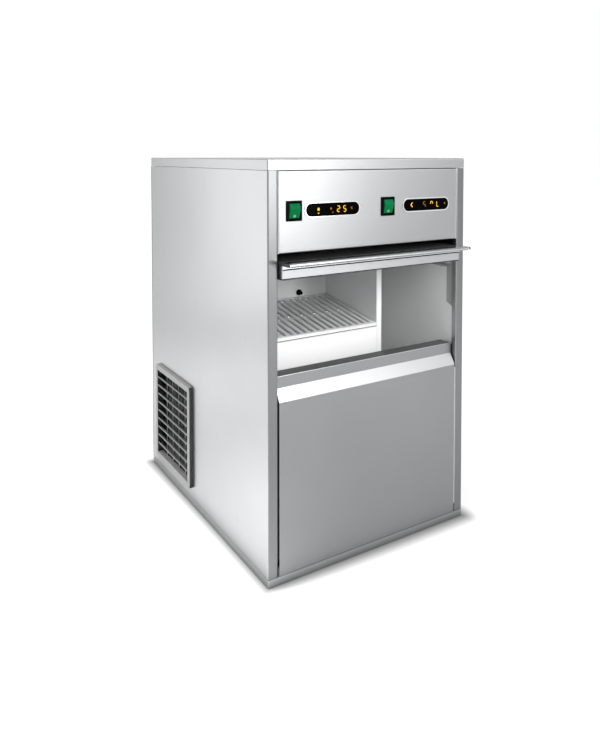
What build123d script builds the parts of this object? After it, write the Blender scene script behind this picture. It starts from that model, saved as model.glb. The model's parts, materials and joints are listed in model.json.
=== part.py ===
from build123d import *
from math import atan2, cos, degrees, pi, sin, tan
import os

# Flake ice maker: a free-standing stainless cabinet with an ice bin behind a door that
# swings up and slides in under the control fascia.
# Frame: X to the right seen from the front, Y from the front to the back, Z up.
# The origin is the centre of the base, on the floor. All sizes are in millimetres.
# "Depth" is a distance behind the front plane of the cabinet.
# The door is modelled open, pushed in flat, as the machine stands while ice is taken out.

# Cabinet
WIDTH = 405.0
DEPTH = 508.0
HEIGHT = 655.0

# Sheet, joints and running fits
SHEET = 1.2              # stainless sheet of the panels
BEND = 1.5               # bend radius on the middle line of a sheet
SEAM = 0.6               # open joint between neighbouring panels
FIT = 0.3                # room between a piece and what it sits on or in
RUN = 0.05               # radial room of a shaft in its bore
OVERRUN = 2.0            # how far a cutting body passes what it cuts

# Base pan
PLINTH_H = 13.0
PAN_GAUGE = 1.5
UPSTAND_H = 28.0

# Side panels
STILE_W = 17.5           # front flange of each side panel
STILE_RETURN = 10.3      # its inward return, which is the jamb of the mouth
REAR_FLANGE = 14.0

# Top cover
COVER_SKIRT = 17.0
COVER_EDGE = 2.0

# Control fascia
PANEL_GAP = 2.5          # between a stile and the fascia or the lower front panel
FASCIA_SHARE = 0.78      # height of the fascia's lower edge, as a share of the cabinet's
FASCIA_BOTTOM = HEIGHT * FASCIA_SHARE
FASCIA_RETURN = 12.0
CONTROL_SHARE = 0.51     # height of the row of switches and displays on the fascia

# Lower front panel and sill
SILL_SHARE = 0.4885      # height of the sill, as a share of the cabinet's
SILL_TOP = HEIGHT * SILL_SHARE
RECESS_DROP = 37.0       # from the sill down to where the finger recess starts to slant back
RECESS_FOOT = SILL_TOP - RECESS_DROP
RECESS_RISE = 19.0
RECESS_SETBACK = 10.3
STRIP_T = 4.0

# Bin liner
LINER_T = 2.0
LINER_LIP = 12.0         # depth where the liner starts, behind the jambs
BIN_FRONT = 38.0
BIN_FLOOR = 52.0
CEILING_RISE = 11.0      # ceiling of the bin over the fascia's lower edge
BIN_CEILING = FASCIA_BOTTOM + CEILING_RISE
BIN_CORNER = 10.0
LEDGE_D = 10.0           # moulded ledges that carry the tank and the divider
LEDGE_H = 8.0

# Bin insulation and supports
FOAM_SIDE = 10.0
FOAM_REAR = 12.0
FOAM_FLOOR = 12.0
FOAM_TOP = 10.0
SUPPORT_W = 26.0
SUPPORT_SHARES = (0.24, 0.82)

# Divider and water tank
DIVIDER_SHARE = 0.2444   # its left face from the middle, as a share of the width
DIVIDER_X = WIDTH * DIVIDER_SHARE
DIVIDER_T = 12.5
DIVIDER_DROP = 56.0      # its top under the fascia's lower edge
DIVIDER_TOP = FASCIA_BOTTOM - DIVIDER_DROP
DIVIDER_ROUND = 2.5
TANK_FRONT_SHARE = 0.411
TANK_DROP = 40.0         # its floor under the sill
TANK_FLOOR = SILL_TOP - TANK_DROP
TANK_T = 3.0

# Slatted ice slide
SLIDE_OVER_SILL = 25.0
SLIDE_LOW = SILL_TOP + SLIDE_OVER_SILL
SLIDE_RISE = 27.0        # how much higher its rear edge lies
SLIDE_T = 7.0
SLIDE_JOINT = 0.8        # shadow line between the slide's rim and the tank
SLIDE_RIM = 6.0
SLIDE_REST = 10.0        # wider rim beside the divider
SLAT_COUNT = 19
SLAT_WIDTH_SHARE = 0.56
SLAT_H = 5.0
SLAT_CROWN = 1.2
CROSS_ROD_R = 2.2
CROSS_ROD_SHARES = (0.47, 0.9)

# Ice level sensor
SENSOR_X = 32.0
SENSOR_OVER_SLIDE = 35.0
SENSOR_Z = SLIDE_LOW + SENSOR_OVER_SLIDE
SENSOR_R = 3.5
SENSOR_REACH = 12.0
SENSOR_COLLAR_R = 6.0
SENSOR_COLLAR_T = 2.5

# Side vent and its grille
VENT_BEHIND = 45.0       # from its rear edge to the back of the cabinet
VENT_LENGTH = 163.0
VENT_DEPTHS = (DEPTH - VENT_BEHIND - VENT_LENGTH, DEPTH - VENT_BEHIND)
VENT_HEIGHTS = (40.0, 217.0)
GRILLE_BORDER = 9.0
GRILLE_PROUD = 6.5
GRILLE_CORNER = 9.0
GRILLE_EDGE = 2.0
GRILLE_WALL = 2.0
GRILLE_INNER = 4.0       # how far the sleeve reaches inside the panel
GRILLE_SLATS = 9
SLAT_BLADE = 9.5
SLAT_GAUGE = 1.8
SLAT_TILT = 32.0
GRILLE_RIBS = 4
RIB_W = 3.0
RIB_T = 2.5

# Door, lying open and flat
DOOR_SIDE_ROOM = 2.0     # from its edge to the jamb
DOOR_LENGTH = 197.5
DOOR_T = 27.0
DOOR_FRONT = -9.0        # depth of its lower end face, in front of the cabinet
DOOR_DROP = 11.5         # its upper face under the fascia's lower edge
DOOR_TOP = FASCIA_BOTTOM - DOOR_DROP
DOOR_SKIN = 1.0
DOOR_LINER_T = 2.0
DOOR_EDGE = 1.5
LIP_REACH = 24.0
LIP_T = 4.4
LIP_ROOT = 6.0           # web of the handle against the end face
LIP_CAP_W = 3.0

# Hinge pins, rollers and guide rails
PIN_R = 2.0
PIN_FROM_TOP = 37.0      # from the door's upper end to the pin
PIN_BELOW = 7.5          # from the door's inner face to the pin
PIN_LENGTH = 8.4
EAR_T = 1.6
EAR_HALF_W = 6.0
EAR_PLATE = 17.0
ROLLER_R = 4.0
ROLLER_W = 2.0
RAIL_T = 2.4
RAIL_WIDTH = 13.0        # front leg
RAIL_HALF_H = 8.5        # half height of the level leg
RAIL_LEG = 78.0          # front leg below the slot
RAIL_SLANT = 6.0
DOOR_CLOSED_PIN = 17.4   # depth of the pins with the door shut

# Switches
SWITCH_SHARES = (-0.3864, 0.0654)    # places across the width
SWITCH_XS = [WIDTH * share for share in SWITCH_SHARES]
BEZEL_W = 27.5
BEZEL_H = 31.5
BEZEL_T = 2.2
BEZEL_EDGE = 1.0
SWITCH_BODY_W = 23.0
SWITCH_BODY_H = 27.0
SWITCH_BODY_D = 22.0
ROCKER_W = 18.6
ROCKER_H = 24.0
ROCKER_POCKET_H = 26.0
ROCKER_POCKET_D = 14.0
ROCKER_CREST = 4.6       # how far its ends stand before the pivot
ROCKER_WAIST = 2.6
ROCKER_DEPTH = 7.0
ROCKER_TILT = 9.0
TRUNNION_R = 1.5
TRUNNION_L = 1.2

# Displays
DISPLAY_SHARES = (-0.2086, 0.2753)
DISPLAY_XS = [WIDTH * share for share in DISPLAY_SHARES]
DISPLAY_W_SHARE = 0.262
DISPLAY_W = WIDTH * DISPLAY_W_SHARE
DISPLAY_H = 24.0
DISPLAY_RIM = 1.0
DISPLAY_PROUD = 1.4
DISPLAY_SINK = 0.5       # lens surface behind the rim
LENS_T = 3.0
DISPLAY_DEPTH = 13.0
BOARD_T = 1.6
CHIP_H = 3.0

# Evaporator and auger, on one upright axis
EVAP_BEHIND = 116.0      # from its axis to the back of the cabinet
EVAP_DEPTH = DEPTH - EVAP_BEHIND
BARREL_BORE_R = 38.0
BARREL_T = 4.0
BARREL_FOOT = 152.0
BARREL_DROP = 71.0       # its top under the fascia's lower edge
BARREL_TOP = FASCIA_BOTTOM - BARREL_DROP
BARREL_FLANGE_R = 52.0
BARREL_FLANGE_T = 6.0
STUB_R = 6.0
STUB_OVER = 2.0          # how far the stubs stand out of the foam jacket
WATER_STUB_RISE = 20.0   # over the barrel's foot
COLD_IN_RISE = 66.0
COLD_OUT_DROP = 40.0     # under the barrel's top
WATER_STUB_Z = BARREL_FOOT + WATER_STUB_RISE
COLD_IN_Z = BARREL_FOOT + COLD_IN_RISE
COLD_OUT_Z = BARREL_TOP - COLD_OUT_DROP
JACKET_R = 64.0
HEAD_R = 48.0
HEAD_H = 64.0
HEAD_ROOF = 11.0
HEAD_CAP_R = 26.0
HEAD_CAP_T = 5.0
SHAFT_R = 9.0
FLIGHT_GAP = 0.4
FLIGHT_T = 5.0
FLIGHT_PITCH = 38.0
FLIGHT_END_ROOM = 10.0   # from the flight's end to the barrel's top
FLIGHT_START = 166.0
FLIGHT_RISE = BARREL_TOP - FLIGHT_START - FLIGHT_END_ROOM
PADDLE_T = 5.0
PADDLE_H = 16.0
PADDLE_OVER = 15.0       # over the barrel's top
PADDLE_Z = BARREL_TOP + PADDLE_OVER
BEARING_R = 18.0
BEARING_H = 10.0

# Ice chute
CHUTE_HALF_W = 28.0
CHUTE_SHARE = 0.71       # place of its front end between the door and the bin's rear wall
CHUTE_LIP_OVER = 11.0    # its lip and its roof over the barrel's top
CHUTE_ROOF_OVER = 53.0
CHUTE_LIP = BARREL_TOP + CHUTE_LIP_OVER
CHUTE_DROP = 10.0
CHUTE_TOP = BARREL_TOP + CHUTE_ROOF_OVER
CHUTE_T = 2.0

# Drive under the barrel
HOUSING_FOOT = 104.0
HOUSING_R = 34.0
HOUSING_FLANGE_R = 46.0
HOUSING_FLANGE_T = 6.0
COUPLING_R = 15.0
COUPLING_Z = (108.0, 135.0)
OUTPUT_START = 82.0
SHAFT_SPLIT = 121.0
GEARBOX_HALF_W = 50.0
GEARBOX_HALF_D = 48.0
GEARBOX_Z = (14.0, 90.0)
GEARBOX_ROUND = 8.0
GEARBOX_FOOT = 20.0
GEARBOX_BOSS_R = 34.0
MOTOR_R = 39.0
MOTOR_Z = 58.0
MOTOR_LENGTH = 56.0
MOTOR_RIBS = 12
MOTOR_RIB_H = 2.5

# Compressor
COMP_SIDE_ROOM = 15.5    # to the outside of the cabinet
COMP_GEAR_ROOM = 13.0    # to the gearbox
COMP_REAR_ROOM = 26.0    # to the back of the cabinet
COMP_R = (WIDTH / 2 - COMP_SIDE_ROOM - GEARBOX_HALF_W - COMP_GEAR_ROOM) / 2
COMP_X = WIDTH / 2 - COMP_SIDE_ROOM - COMP_R
COMP_DEPTH = DEPTH - COMP_REAR_ROOM - COMP_R
COMP_Z = (28.0, 198.0)
COMP_CROWN_SHARE = 0.55
COMP_BOWL = 20.0
COMP_BAND_Z = 110.0
COMP_BAND_H = 7.0
COMP_BAND_T = 3.0
COMP_PLATE_T = 4.0
COMP_PLATE_OVER = 4.0    # how far the foot plate stands out at the sides
COMP_PLATE_SHORT = 10.0  # how far it stays short in front and behind
COMP_PLATE_Z = 20.0
GROMMET_R = 9.0
GROMMET_WAIST_R = 6.5
GROMMET_INSET = 11.0
STUB_TOP = 206.0
DISCHARGE_SHARES = (-0.323, 0.0)     # places from its axis, as shares of its radius
SUCTION_SHARES = (0.403, -0.323)
PROCESS_SHARES = (0.177, 0.419)
TERMINAL_W = 40.0
TERMINAL_H = 46.0
TERMINAL_D = 26.0
TERMINAL_Z = 70.0
TERMINAL_ROOM = 22.4     # from the cover to the bin's insulation
COMP_STUB_R = 5.0

# Condenser
COND_SIDE_ROOM = 8.5     # to the outside of the cabinet
COND_THICK = 26.0
COND_X = (COND_SIDE_ROOM - WIDTH / 2, COND_SIDE_ROOM + COND_THICK - WIDTH / 2)
COND_BEHIND = 54.0
COND_LENGTH = 132.0
COND_DEPTHS = (DEPTH - COND_BEHIND - COND_LENGTH, DEPTH - COND_BEHIND)
COND_Z = (34.0, 220.0)
COND_FINS = 22
FIN_T = 1.6
FIN_CORE = 6.0
TUBE_SHEET_T = 1.5
TUBE_SHEET_RAISE = 4.0
COND_TUBE_R = 4.0
COND_TUBE_ROWS = 8

# Condenser fan
SHROUD_T = 1.5
SHROUD_MOUTH_R = 72.0
SHROUD_LIP = 5.0
FAN_Z = 128.0
FAN_R = 67.0
FAN_HUB_R = 20.0
FAN_LENGTH = 20.0
FAN_BLADES = 5
FAN_BLADE_T = 2.2
FAN_PITCH = 34.0
FAN_GAP = 4.0            # from the shroud to the rotor, and from the rotor to the motor
FAN_SHAFT_R = 3.0
FAN_SHAFT_L = 14.0
FAN_MOTOR_R = 29.0
FAN_MOTOR_L = 40.0
FAN_BRACKET_W = 46.0
FAN_BRACKET_T = 2.0
FAN_BRACKET_FOOT = 24.0

# Filter drier and refrigerant pipes
DRIER_X = -110.0
DRIER_BEHIND = 30.0
DRIER_Z = (112.0, 190.0)
DRIER_R = 11.0
DRIER_NECK = 14.0
PIPE_R = 3.2
CAPILLARY_R = 1.6
PIPE_BEND = 9.0
DECK_SHARES = (0.155, 0.29, 0.485)   # decks of pipes between the compressor and the cold outlet
DISCHARGE_BEHIND = 14.0
RISER_ROOM = 26.0        # from the barrel's jacket to the risers

# Water
INLET_SHARE = -0.3704    # places across the width
INLET_Z = 300.0
INLET_R = 13.2           # three-quarter inch pipe thread, over its crests
INLET_REACH = 14.0
NECK_STEP = 0.8          # the part in the panel is thinner than the part outside
INLET_COLLAR_R = 17.0
INLET_COLLAR_T = 3.5
VALVE_D = 30.0
VALVE_HALF_W = 15.0
COIL_R = 13.0
COIL_H = 26.0
HOSE_R = 4.0
SUPPLY_BENDS_BEHIND = (98.0, 143.0)
FLOAT_OVER_FLOOR = 55.0
FLOAT_Z = TANK_FLOOR + FLOAT_OVER_FLOOR
FLOAT_BODY_R = 8.0
FLOAT_BODY_REACH = 19.0  # how far it stands into the tank
FLOAT_NUT_R = 12.0
FLOAT_NUT_T = 4.0
FORK_REACH = 9.0
FORK_T = 3.0
FORK_H = 10.0
ARM_T = 3.0
ARM_H = 6.0
ARM_REACH = 62.0
ARM_DROP = 16.0
FLOAT_PIN_R = 1.5
FLOAT_R = 13.0
FLOAT_LENGTH = 42.0
FEED_X = -40.0
FEED_OVER_FLOOR = 12.0
FEED_Z = TANK_FLOOR + FEED_OVER_FLOOR
FEED_R = 5.0
FEED_BEND = 5.8
FEED_RUN = 7.7           # from the drop to the barrel's water stub

# Drain
DRAIN_X = -66.0
DRAIN_AHEAD = 30.0       # from its middle to the bin's rear wall
DRAIN_R = 8.0
DRAIN_Z = 27.0
DRAIN_BEND = 12.0
DRAIN_FLANGE_R = 14.0
DRAIN_FLANGE_T = 2.0
SPIGOT_R = 10.0
SPIGOT_REACH = 16.0
PIPE_WALL = 1.2

# Mains inlet socket
SOCKET_SHARE = 0.3704
SOCKET_Z = 330.0
SOCKET_FLANGE = (50.0, 24.0)
SOCKET_FLANGE_T = 2.0
SOCKET_BODY = (28.0, 20.0)
SOCKET_DEPTH = 18.0
SOCKET_WELL = (24.0, 16.0)
SOCKET_WELL_D = 15.0
SOCKET_CHAMFER = 4.0
PRONG = (2.0, 5.0, 11.0)
PRONG_PITCH = 7.0

# Back panel
LOUVRE_SHARES = (-0.2346, 0.2346)
LOUVRE_W_SHARE = 0.321
LOUVRE_ROWS = 7
LOUVRE_FOOT = 62.0
LOUVRE_PITCH = 21.0
LOUVRE_R = 5.0
LOUVRE_T = 1.0
SCREW_HEAD_R = 3.6
SCREW_HEAD_H = 2.0
SCREW_SHANK_R = 1.6
SCREW_INSET = 7.0
SCREW_ROWS = 4

# Control box
BOX_X = (-150.0, 30.0)
BOX_DEPTH_SHARES = (0.24, 0.79)
BOX_H = 56.0
BOX_GAUGE = 1.2
BOARD_MARGIN = 12.0
BOARD_RAISE = 8.0
POST_R = 4.0
RELAY = (18.0, 26.0, 16.0)
TRANSFORMER = (44.0, 38.0, 32.0)

# Places worked out from the sizes above
X_SIDE = WIDTH / 2
Y_FRONT = -DEPTH / 2
Y_BACK = DEPTH / 2
BODY_FOOT = PLINTH_H + SEAM
BODY_TOP = HEIGHT - COVER_SKIRT - SEAM
CONTROL_Z = FASCIA_BOTTOM + CONTROL_SHARE * (BODY_TOP - FASCIA_BOTTOM)
COMP_FRONT = COMP_DEPTH - COMP_R - COMP_BAND_T - FIT
FOAM_BACK = COMP_FRONT - TERMINAL_D - TERMINAL_ROOM
BIN_BACK = FOAM_BACK - FOAM_REAR - FIT - LINER_T
TANK_FRONT = BIN_BACK * TANK_FRONT_SHARE
STUB_REACH = JACKET_R + STUB_OVER
OPENING_HALF = X_SIDE - STILE_W
PANEL_HALF = OPENING_HALF - PANEL_GAP
PANEL_INNER = SHEET + FIT
STRIP_FOOT = SILL_TOP - STRIP_T
LINER_FRONT_TOP = STRIP_FOOT - FIT
LINER_HALF_W = X_SIDE - SHEET - FIT - FOAM_SIDE - FIT
BIN_HALF_W = LINER_HALF_W - LINER_T
FOAM_FOOT = BIN_FLOOR - LINER_T - FIT - FOAM_FLOOR
DECK = BIN_CEILING + LINER_T + FIT + FOAM_TOP
LEDGE_TOP = TANK_FLOOR - FIT
SLIDE_ANGLE = degrees(atan2(SLIDE_RISE, BIN_BACK - TANK_FRONT))
SLIDE_TAN = SLIDE_RISE / (BIN_BACK - TANK_FRONT)
TANK_RIM = SLIDE_LOW - SLIDE_T - SLIDE_JOINT
TANK_X = (-BIN_HALF_W + FIT, DIVIDER_X - FIT)
DOOR_HALF_W = OPENING_HALF - DOOR_SIDE_ROOM
DOOR_BACK = DOOR_FRONT + DOOR_LENGTH
DOOR_UNDER = DOOR_TOP - DOOR_T
CHUTE_FRONT = DOOR_BACK + CHUTE_SHARE * (BIN_BACK - DOOR_BACK)
FLOAT_BODY_FRONT = BIN_BACK - FLOAT_BODY_REACH
DRAIN_DEPTH = BIN_BACK - DRAIN_AHEAD
PIN_DEPTH = DOOR_BACK - PIN_FROM_TOP
PIN_Z = DOOR_UNDER - PIN_BELOW
RAIL_X = (BIN_HALF_W - FIT - RAIL_T, BIN_HALF_W - FIT)
RAIL_FOOT = PIN_Z - RAIL_LEG
INLET_X = WIDTH * INLET_SHARE
SOCKET_X = WIDTH * SOCKET_SHARE
LOUVRE_W = WIDTH * LOUVRE_W_SHARE
BOX_DEPTHS = [BIN_BACK * share for share in BOX_DEPTH_SHARES]
RISER_X = JACKET_R + RISER_ROOM
STAND = (Align.CENTER, Align.CENTER, Align.MIN)


def behind(depth):
    """Y of a place at a depth behind the cabinet's front plane."""
    return Y_FRONT + depth


def block(x, y, z):
    """Box between a low and a high place along each axis."""
    size = Box(x[1] - x[0], y[1] - y[0], z[1] - z[0])
    return Pos((x[0] + x[1]) / 2, (y[0] + y[1]) / 2, (z[0] + z[1]) / 2) * size


def rod(start, end, radius):
    """Round bar from one point to another."""
    axis = Vector(*end) - Vector(*start)
    return Plane(origin=start, z_dir=axis) * Cylinder(radius, axis.length, align=STAND)


def upright(x, depth, z, radius):
    """Round bar along Z between two heights."""
    return rod((x, behind(depth), z[0]), (x, behind(depth), z[1]), radius)


def across(y, z, x, radius):
    """Round bar along X between two places across the cabinet."""
    return rod((x[0], y, z), (x[1], y, z), radius)


def prism_x(points, x):
    """Solid with an outline in Y and Z, between two places across the cabinet."""
    face = make_face(Polyline(*points, close=True))
    return extrude(Plane.YZ.offset(x[0]) * face, x[1] - x[0])


def prism_y(face, y):
    """Solid of a face drawn in X and Z, between two places in depth."""
    return extrude(Plane.XZ.offset(-y[0]) * face, y[0] - y[1])


def folded(points, plane, length, gauge=SHEET):
    """Bent sheet along a middle line drawn on a plane, extruded from it."""
    return extrude(plane * trace(FilletPolyline(*points, radius=BEND), gauge), length)


def pipe(points, radius, bend, wall=PIPE_WALL):
    """Tube along straight runs joined by tangent arcs."""
    path = FilletPolyline(*points, radius=bend)
    section = Plane(origin=path @ 0, z_dir=path % 0) * (Circle(radius) - Circle(radius - wall))
    return sweep(section, path)


def mirrored(shape):
    """The same piece on the other side of the cabinet."""
    return mirror(shape, Plane.YZ)


def edges_near(shape, axis, x=None, y=None):
    """Edges along an axis whose middle lies at the given places."""
    chosen = shape.edges().filter_by(axis)
    if x is not None:
        chosen = chosen.filter_by(lambda e: abs(e.center().X - x) < FIT)
    if y is not None:
        chosen = chosen.filter_by(lambda e: abs(e.center().Y - y) < FIT)
    return chosen


def group(*solids):
    """Several separate solids kept in one node."""
    return Compound(children=[part for solid in solids for part in solid.solids()])


# Cabinet shell

def base_pan():
    """Folded pan that everything stands on, with upstands behind the panels."""
    wall = PANEL_INNER + PAN_GAUGE
    pan = block((-X_SIDE, X_SIDE), (Y_FRONT, Y_BACK), (0, PLINTH_H))
    pan = fillet(pan.edges().filter_by(Axis.Z), BEND)
    hollow_x = (-X_SIDE + wall, X_SIDE - wall)
    pan -= block(hollow_x, (Y_FRONT + wall, Y_BACK - wall), (PAN_GAUGE, PLINTH_H + OVERRUN))
    side_y = (behind(STILE_RETURN + FIT), Y_BACK - PANEL_INNER - SHEET - FIT)
    side = block((-X_SIDE + PANEL_INNER, -X_SIDE + wall), side_y, (PAN_GAUGE, UPSTAND_H))
    front_x = OPENING_HALF - SHEET - FIT
    front = block((-front_x, front_x), (Y_FRONT + PANEL_INNER, Y_FRONT + wall), (PAN_GAUGE, UPSTAND_H))
    back_x = X_SIDE - REAR_FLANGE - FIT
    back = block((-back_x, back_x), (Y_BACK - wall, Y_BACK - PANEL_INNER), (PAN_GAUGE, UPSTAND_H))
    notch_z = (PAN_GAUGE + FIT, UPSTAND_H + OVERRUN)
    notch_x = SPIGOT_R + FIT
    back -= block((DRAIN_X - notch_x, DRAIN_X + notch_x), (Y_BACK - wall - OVERRUN, Y_BACK), notch_z)
    pan += side + mirrored(side) + front + back
    return pan - rod((DRAIN_X, Y_BACK - wall - OVERRUN, DRAIN_Z), (DRAIN_X, Y_BACK + OVERRUN, DRAIN_Z), notch_x)


def side_panel():
    """Left side panel, folded at the front into the stile and its return."""
    half = SHEET / 2
    rear = Y_BACK - PANEL_INNER - half
    points = [
        (-X_SIDE + REAR_FLANGE, rear),
        (-X_SIDE + half, rear),
        (-X_SIDE + half, Y_FRONT + half),
        (-OPENING_HALF - half, Y_FRONT + half),
        (-OPENING_HALF - half, behind(STILE_RETURN)),
    ]
    return folded(points, Plane.XY.offset(BODY_FOOT), BODY_TOP - BODY_FOOT)


def left_side_panel():
    """Left panel with the cut-out for the vent grille."""
    cut_y = (behind(VENT_DEPTHS[0]), behind(VENT_DEPTHS[1]))
    return side_panel() - block((-X_SIDE - OVERRUN, -X_SIDE + SHEET + OVERRUN), cut_y, VENT_HEIGHTS)


def top_cover():
    """Cover lid with a deep skirt, level with the side panels."""
    lid = block((-X_SIDE, X_SIDE), (Y_FRONT, Y_BACK), (HEIGHT - COVER_SKIRT, HEIGHT))
    lid = fillet(lid.edges().filter_by(Axis.Z), BEND)
    lid = fillet(lid.faces().sort_by(Axis.Z)[-1].edges(), COVER_EDGE)
    inner_x = X_SIDE - SHEET
    inner_z = (HEIGHT - COVER_SKIRT - OVERRUN, HEIGHT - SHEET)
    return lid - block((-inner_x, inner_x), (Y_FRONT + SHEET, Y_BACK - SHEET), inner_z)


def stadium(width, height):
    """Round-ended outline of the displays."""
    return SlotOverall(width, height)


def fascia_panel():
    """Control panel with folded edges and cut-outs for switches and displays."""
    half = SHEET / 2
    points = [
        (behind(FASCIA_RETURN), BODY_TOP - half),
        (Y_FRONT + half, BODY_TOP - half),
        (Y_FRONT + half, FASCIA_BOTTOM + half),
        (behind(FASCIA_RETURN), FASCIA_BOTTOM + half),
    ]
    panel = folded(points, Plane.YZ.offset(-PANEL_HALF), 2 * PANEL_HALF)
    cut_y = (Y_FRONT - OVERRUN, Y_FRONT + SHEET + OVERRUN)
    for x in SWITCH_XS:
        hole = Rectangle(SWITCH_BODY_W + 2 * FIT, SWITCH_BODY_H + 2 * FIT)
        panel -= prism_y(Pos(x, CONTROL_Z) * hole, cut_y)
    for x in DISPLAY_XS:
        hole = stadium(DISPLAY_W - 2 * DISPLAY_RIM, DISPLAY_H - 2 * DISPLAY_RIM)
        panel -= prism_y(Pos(x, CONTROL_Z) * hole, cut_y)
    return panel


def lower_front_panel():
    """Front sheet that slants back into a finger recess under the sill."""
    half = SHEET / 2
    points = [
        (Y_FRONT + half, BODY_FOOT),
        (Y_FRONT + half, RECESS_FOOT),
        (behind(RECESS_SETBACK) + half, RECESS_FOOT + RECESS_RISE),
        (behind(RECESS_SETBACK) + half, SILL_TOP),
    ]
    return folded(points, Plane.YZ.offset(-PANEL_HALF), 2 * PANEL_HALF)


def sill_strip():
    """Dark strip that covers the sill between the front sheet and the bin."""
    y = (behind(RECESS_SETBACK + SHEET + FIT), behind(BIN_FRONT))
    strip = block((-PANEL_HALF, PANEL_HALF), y, (STRIP_FOOT, SILL_TOP))
    return fillet(edges_near(strip, Axis.X, y=y[1]), STRIP_T / 4)


def louvre(x, z):
    """One pressed louvre hood, open downwards, on the back panel."""
    hood = rod((x - LOUVRE_W / 2, Y_BACK, z), (x + LOUVRE_W / 2, Y_BACK, z), LOUVRE_R)
    inner = rod((x - LOUVRE_W / 2 + LOUVRE_T, Y_BACK, z), (x + LOUVRE_W / 2 - LOUVRE_T, Y_BACK, z),
                LOUVRE_R - LOUVRE_T)
    span = (x - LOUVRE_W / 2 - OVERRUN, x + LOUVRE_W / 2 + OVERRUN)
    keep = block(span, (Y_BACK, Y_BACK + LOUVRE_R + OVERRUN), (z, z + LOUVRE_R + OVERRUN))
    return (hood - inner) & keep


def screw_places():
    """Centres of the screws round the back panel."""
    low = BODY_FOOT + SCREW_INSET
    step = (BODY_TOP - SCREW_INSET - low) / (SCREW_ROWS - 1)
    sides = (-X_SIDE + SCREW_INSET, X_SIDE - SCREW_INSET)
    return [(x, low + step * row) for x in sides for row in range(SCREW_ROWS)]


def back_panel():
    """Flat rear sheet with rows of louvres and holes for water, drain and mains."""
    y = (Y_BACK - SHEET, Y_BACK)
    cut_y = (y[0] - OVERRUN, y[1] + OVERRUN)
    panel = block((-X_SIDE, X_SIDE), y, (BODY_FOOT, BODY_TOP))
    for share in LOUVRE_SHARES:
        x = WIDTH * share
        for row in range(LOUVRE_ROWS):
            z = LOUVRE_FOOT + LOUVRE_PITCH * row
            slot_x = (x - LOUVRE_W / 2 + LOUVRE_T, x + LOUVRE_W / 2 - LOUVRE_T)
            panel -= block(slot_x, cut_y, (z, z + LOUVRE_R - LOUVRE_T))
            panel += louvre(x, z)
    panel -= rod((INLET_X, cut_y[0], INLET_Z), (INLET_X, cut_y[1], INLET_Z), INLET_R + FIT)
    panel -= rod((DRAIN_X, cut_y[0], DRAIN_Z), (DRAIN_X, cut_y[1], DRAIN_Z), SPIGOT_R + FIT)
    body = Rectangle(SOCKET_BODY[0] + 2 * FIT, SOCKET_BODY[1] + 2 * FIT)
    panel -= prism_y(Pos(SOCKET_X, SOCKET_Z) * body, cut_y)
    for x, z in screw_places():
        panel -= rod((x, cut_y[0], z), (x, cut_y[1], z), SCREW_SHANK_R + FIT)
    return panel


def panel_screws():
    """Pan-head screws that hold the back panel."""
    screws = []
    for x, z in screw_places():
        head = rod((x, Y_BACK, z), (x, Y_BACK + SCREW_HEAD_H, z), SCREW_HEAD_R)
        head = fillet(head.faces().sort_by(Axis.Y)[-1].edges(), SCREW_HEAD_H / 2)
        screws.append(head + rod((x, Y_BACK - SHEET, z), (x, Y_BACK, z), SCREW_SHANK_R))
    return group(*screws)


def side_vent_grille():
    """Moulded grille with a proud frame, tilted slats and ribs behind them."""
    width = VENT_DEPTHS[1] - VENT_DEPTHS[0]
    height = VENT_HEIGHTS[1] - VENT_HEIGHTS[0]
    middle = (behind((VENT_DEPTHS[0] + VENT_DEPTHS[1]) / 2), (VENT_HEIGHTS[0] + VENT_HEIGHTS[1]) / 2)
    outline = RectangleRounded(width + 2 * GRILLE_BORDER, height + 2 * GRILLE_BORDER, GRILLE_CORNER)
    frame = extrude(Plane.YZ.offset(-X_SIDE) * Pos(*middle) * outline, -GRILLE_PROUD)
    frame = fillet(frame.faces().sort_by(Axis.X)[0].edges(), GRILLE_EDGE)
    sleeve = Rectangle(width - 2 * FIT, height - 2 * FIT)
    frame += extrude(Plane.YZ.offset(-X_SIDE) * Pos(*middle) * sleeve, SHEET + GRILLE_INNER)
    inside = (width - 2 * FIT - 2 * GRILLE_WALL, height - 2 * FIT - 2 * GRILLE_WALL)
    through = (-X_SIDE - GRILLE_PROUD - OVERRUN, -X_SIDE + SHEET + GRILLE_INNER + OVERRUN)
    frame -= extrude(Plane.YZ.offset(through[0]) * Pos(*middle) * Rectangle(*inside), through[1] - through[0])
    y = (middle[0] - inside[0] / 2 - GRILLE_WALL / 2, middle[0] + inside[0] / 2 + GRILLE_WALL / 2)
    pitch = inside[1] / (GRILLE_SLATS + 1)
    slat_x = -X_SIDE - GRILLE_PROUD + SLAT_BLADE / 2
    for row in range(GRILLE_SLATS):
        z = middle[1] - inside[1] / 2 + pitch * (row + 1)
        blade = block((-SLAT_BLADE / 2, SLAT_BLADE / 2), y, (-SLAT_GAUGE / 2, SLAT_GAUGE / 2))
        frame += Pos(slat_x, 0, z) * Rot(Y=SLAT_TILT) * blade
    rib_pitch = inside[0] / (GRILLE_RIBS + 1)
    rib_x = (-X_SIDE + SHEET + GRILLE_INNER - RIB_T, -X_SIDE + SHEET + GRILLE_INNER)
    rib_z = (middle[1] - inside[1] / 2 - GRILLE_WALL / 2, middle[1] + inside[1] / 2 + GRILLE_WALL / 2)
    for column in range(GRILLE_RIBS):
        rib_y = middle[0] - inside[0] / 2 + rib_pitch * (column + 1)
        frame += block(rib_x, (rib_y - RIB_W / 2, rib_y + RIB_W / 2), rib_z)
    return frame


# Ice bin

def chute_floor(depth):
    """Height of the chute's underside at a depth."""
    rear = EVAP_DEPTH - HEAD_R
    return CHUTE_LIP + CHUTE_DROP * (depth - CHUTE_FRONT) / (rear - CHUTE_FRONT)


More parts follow.
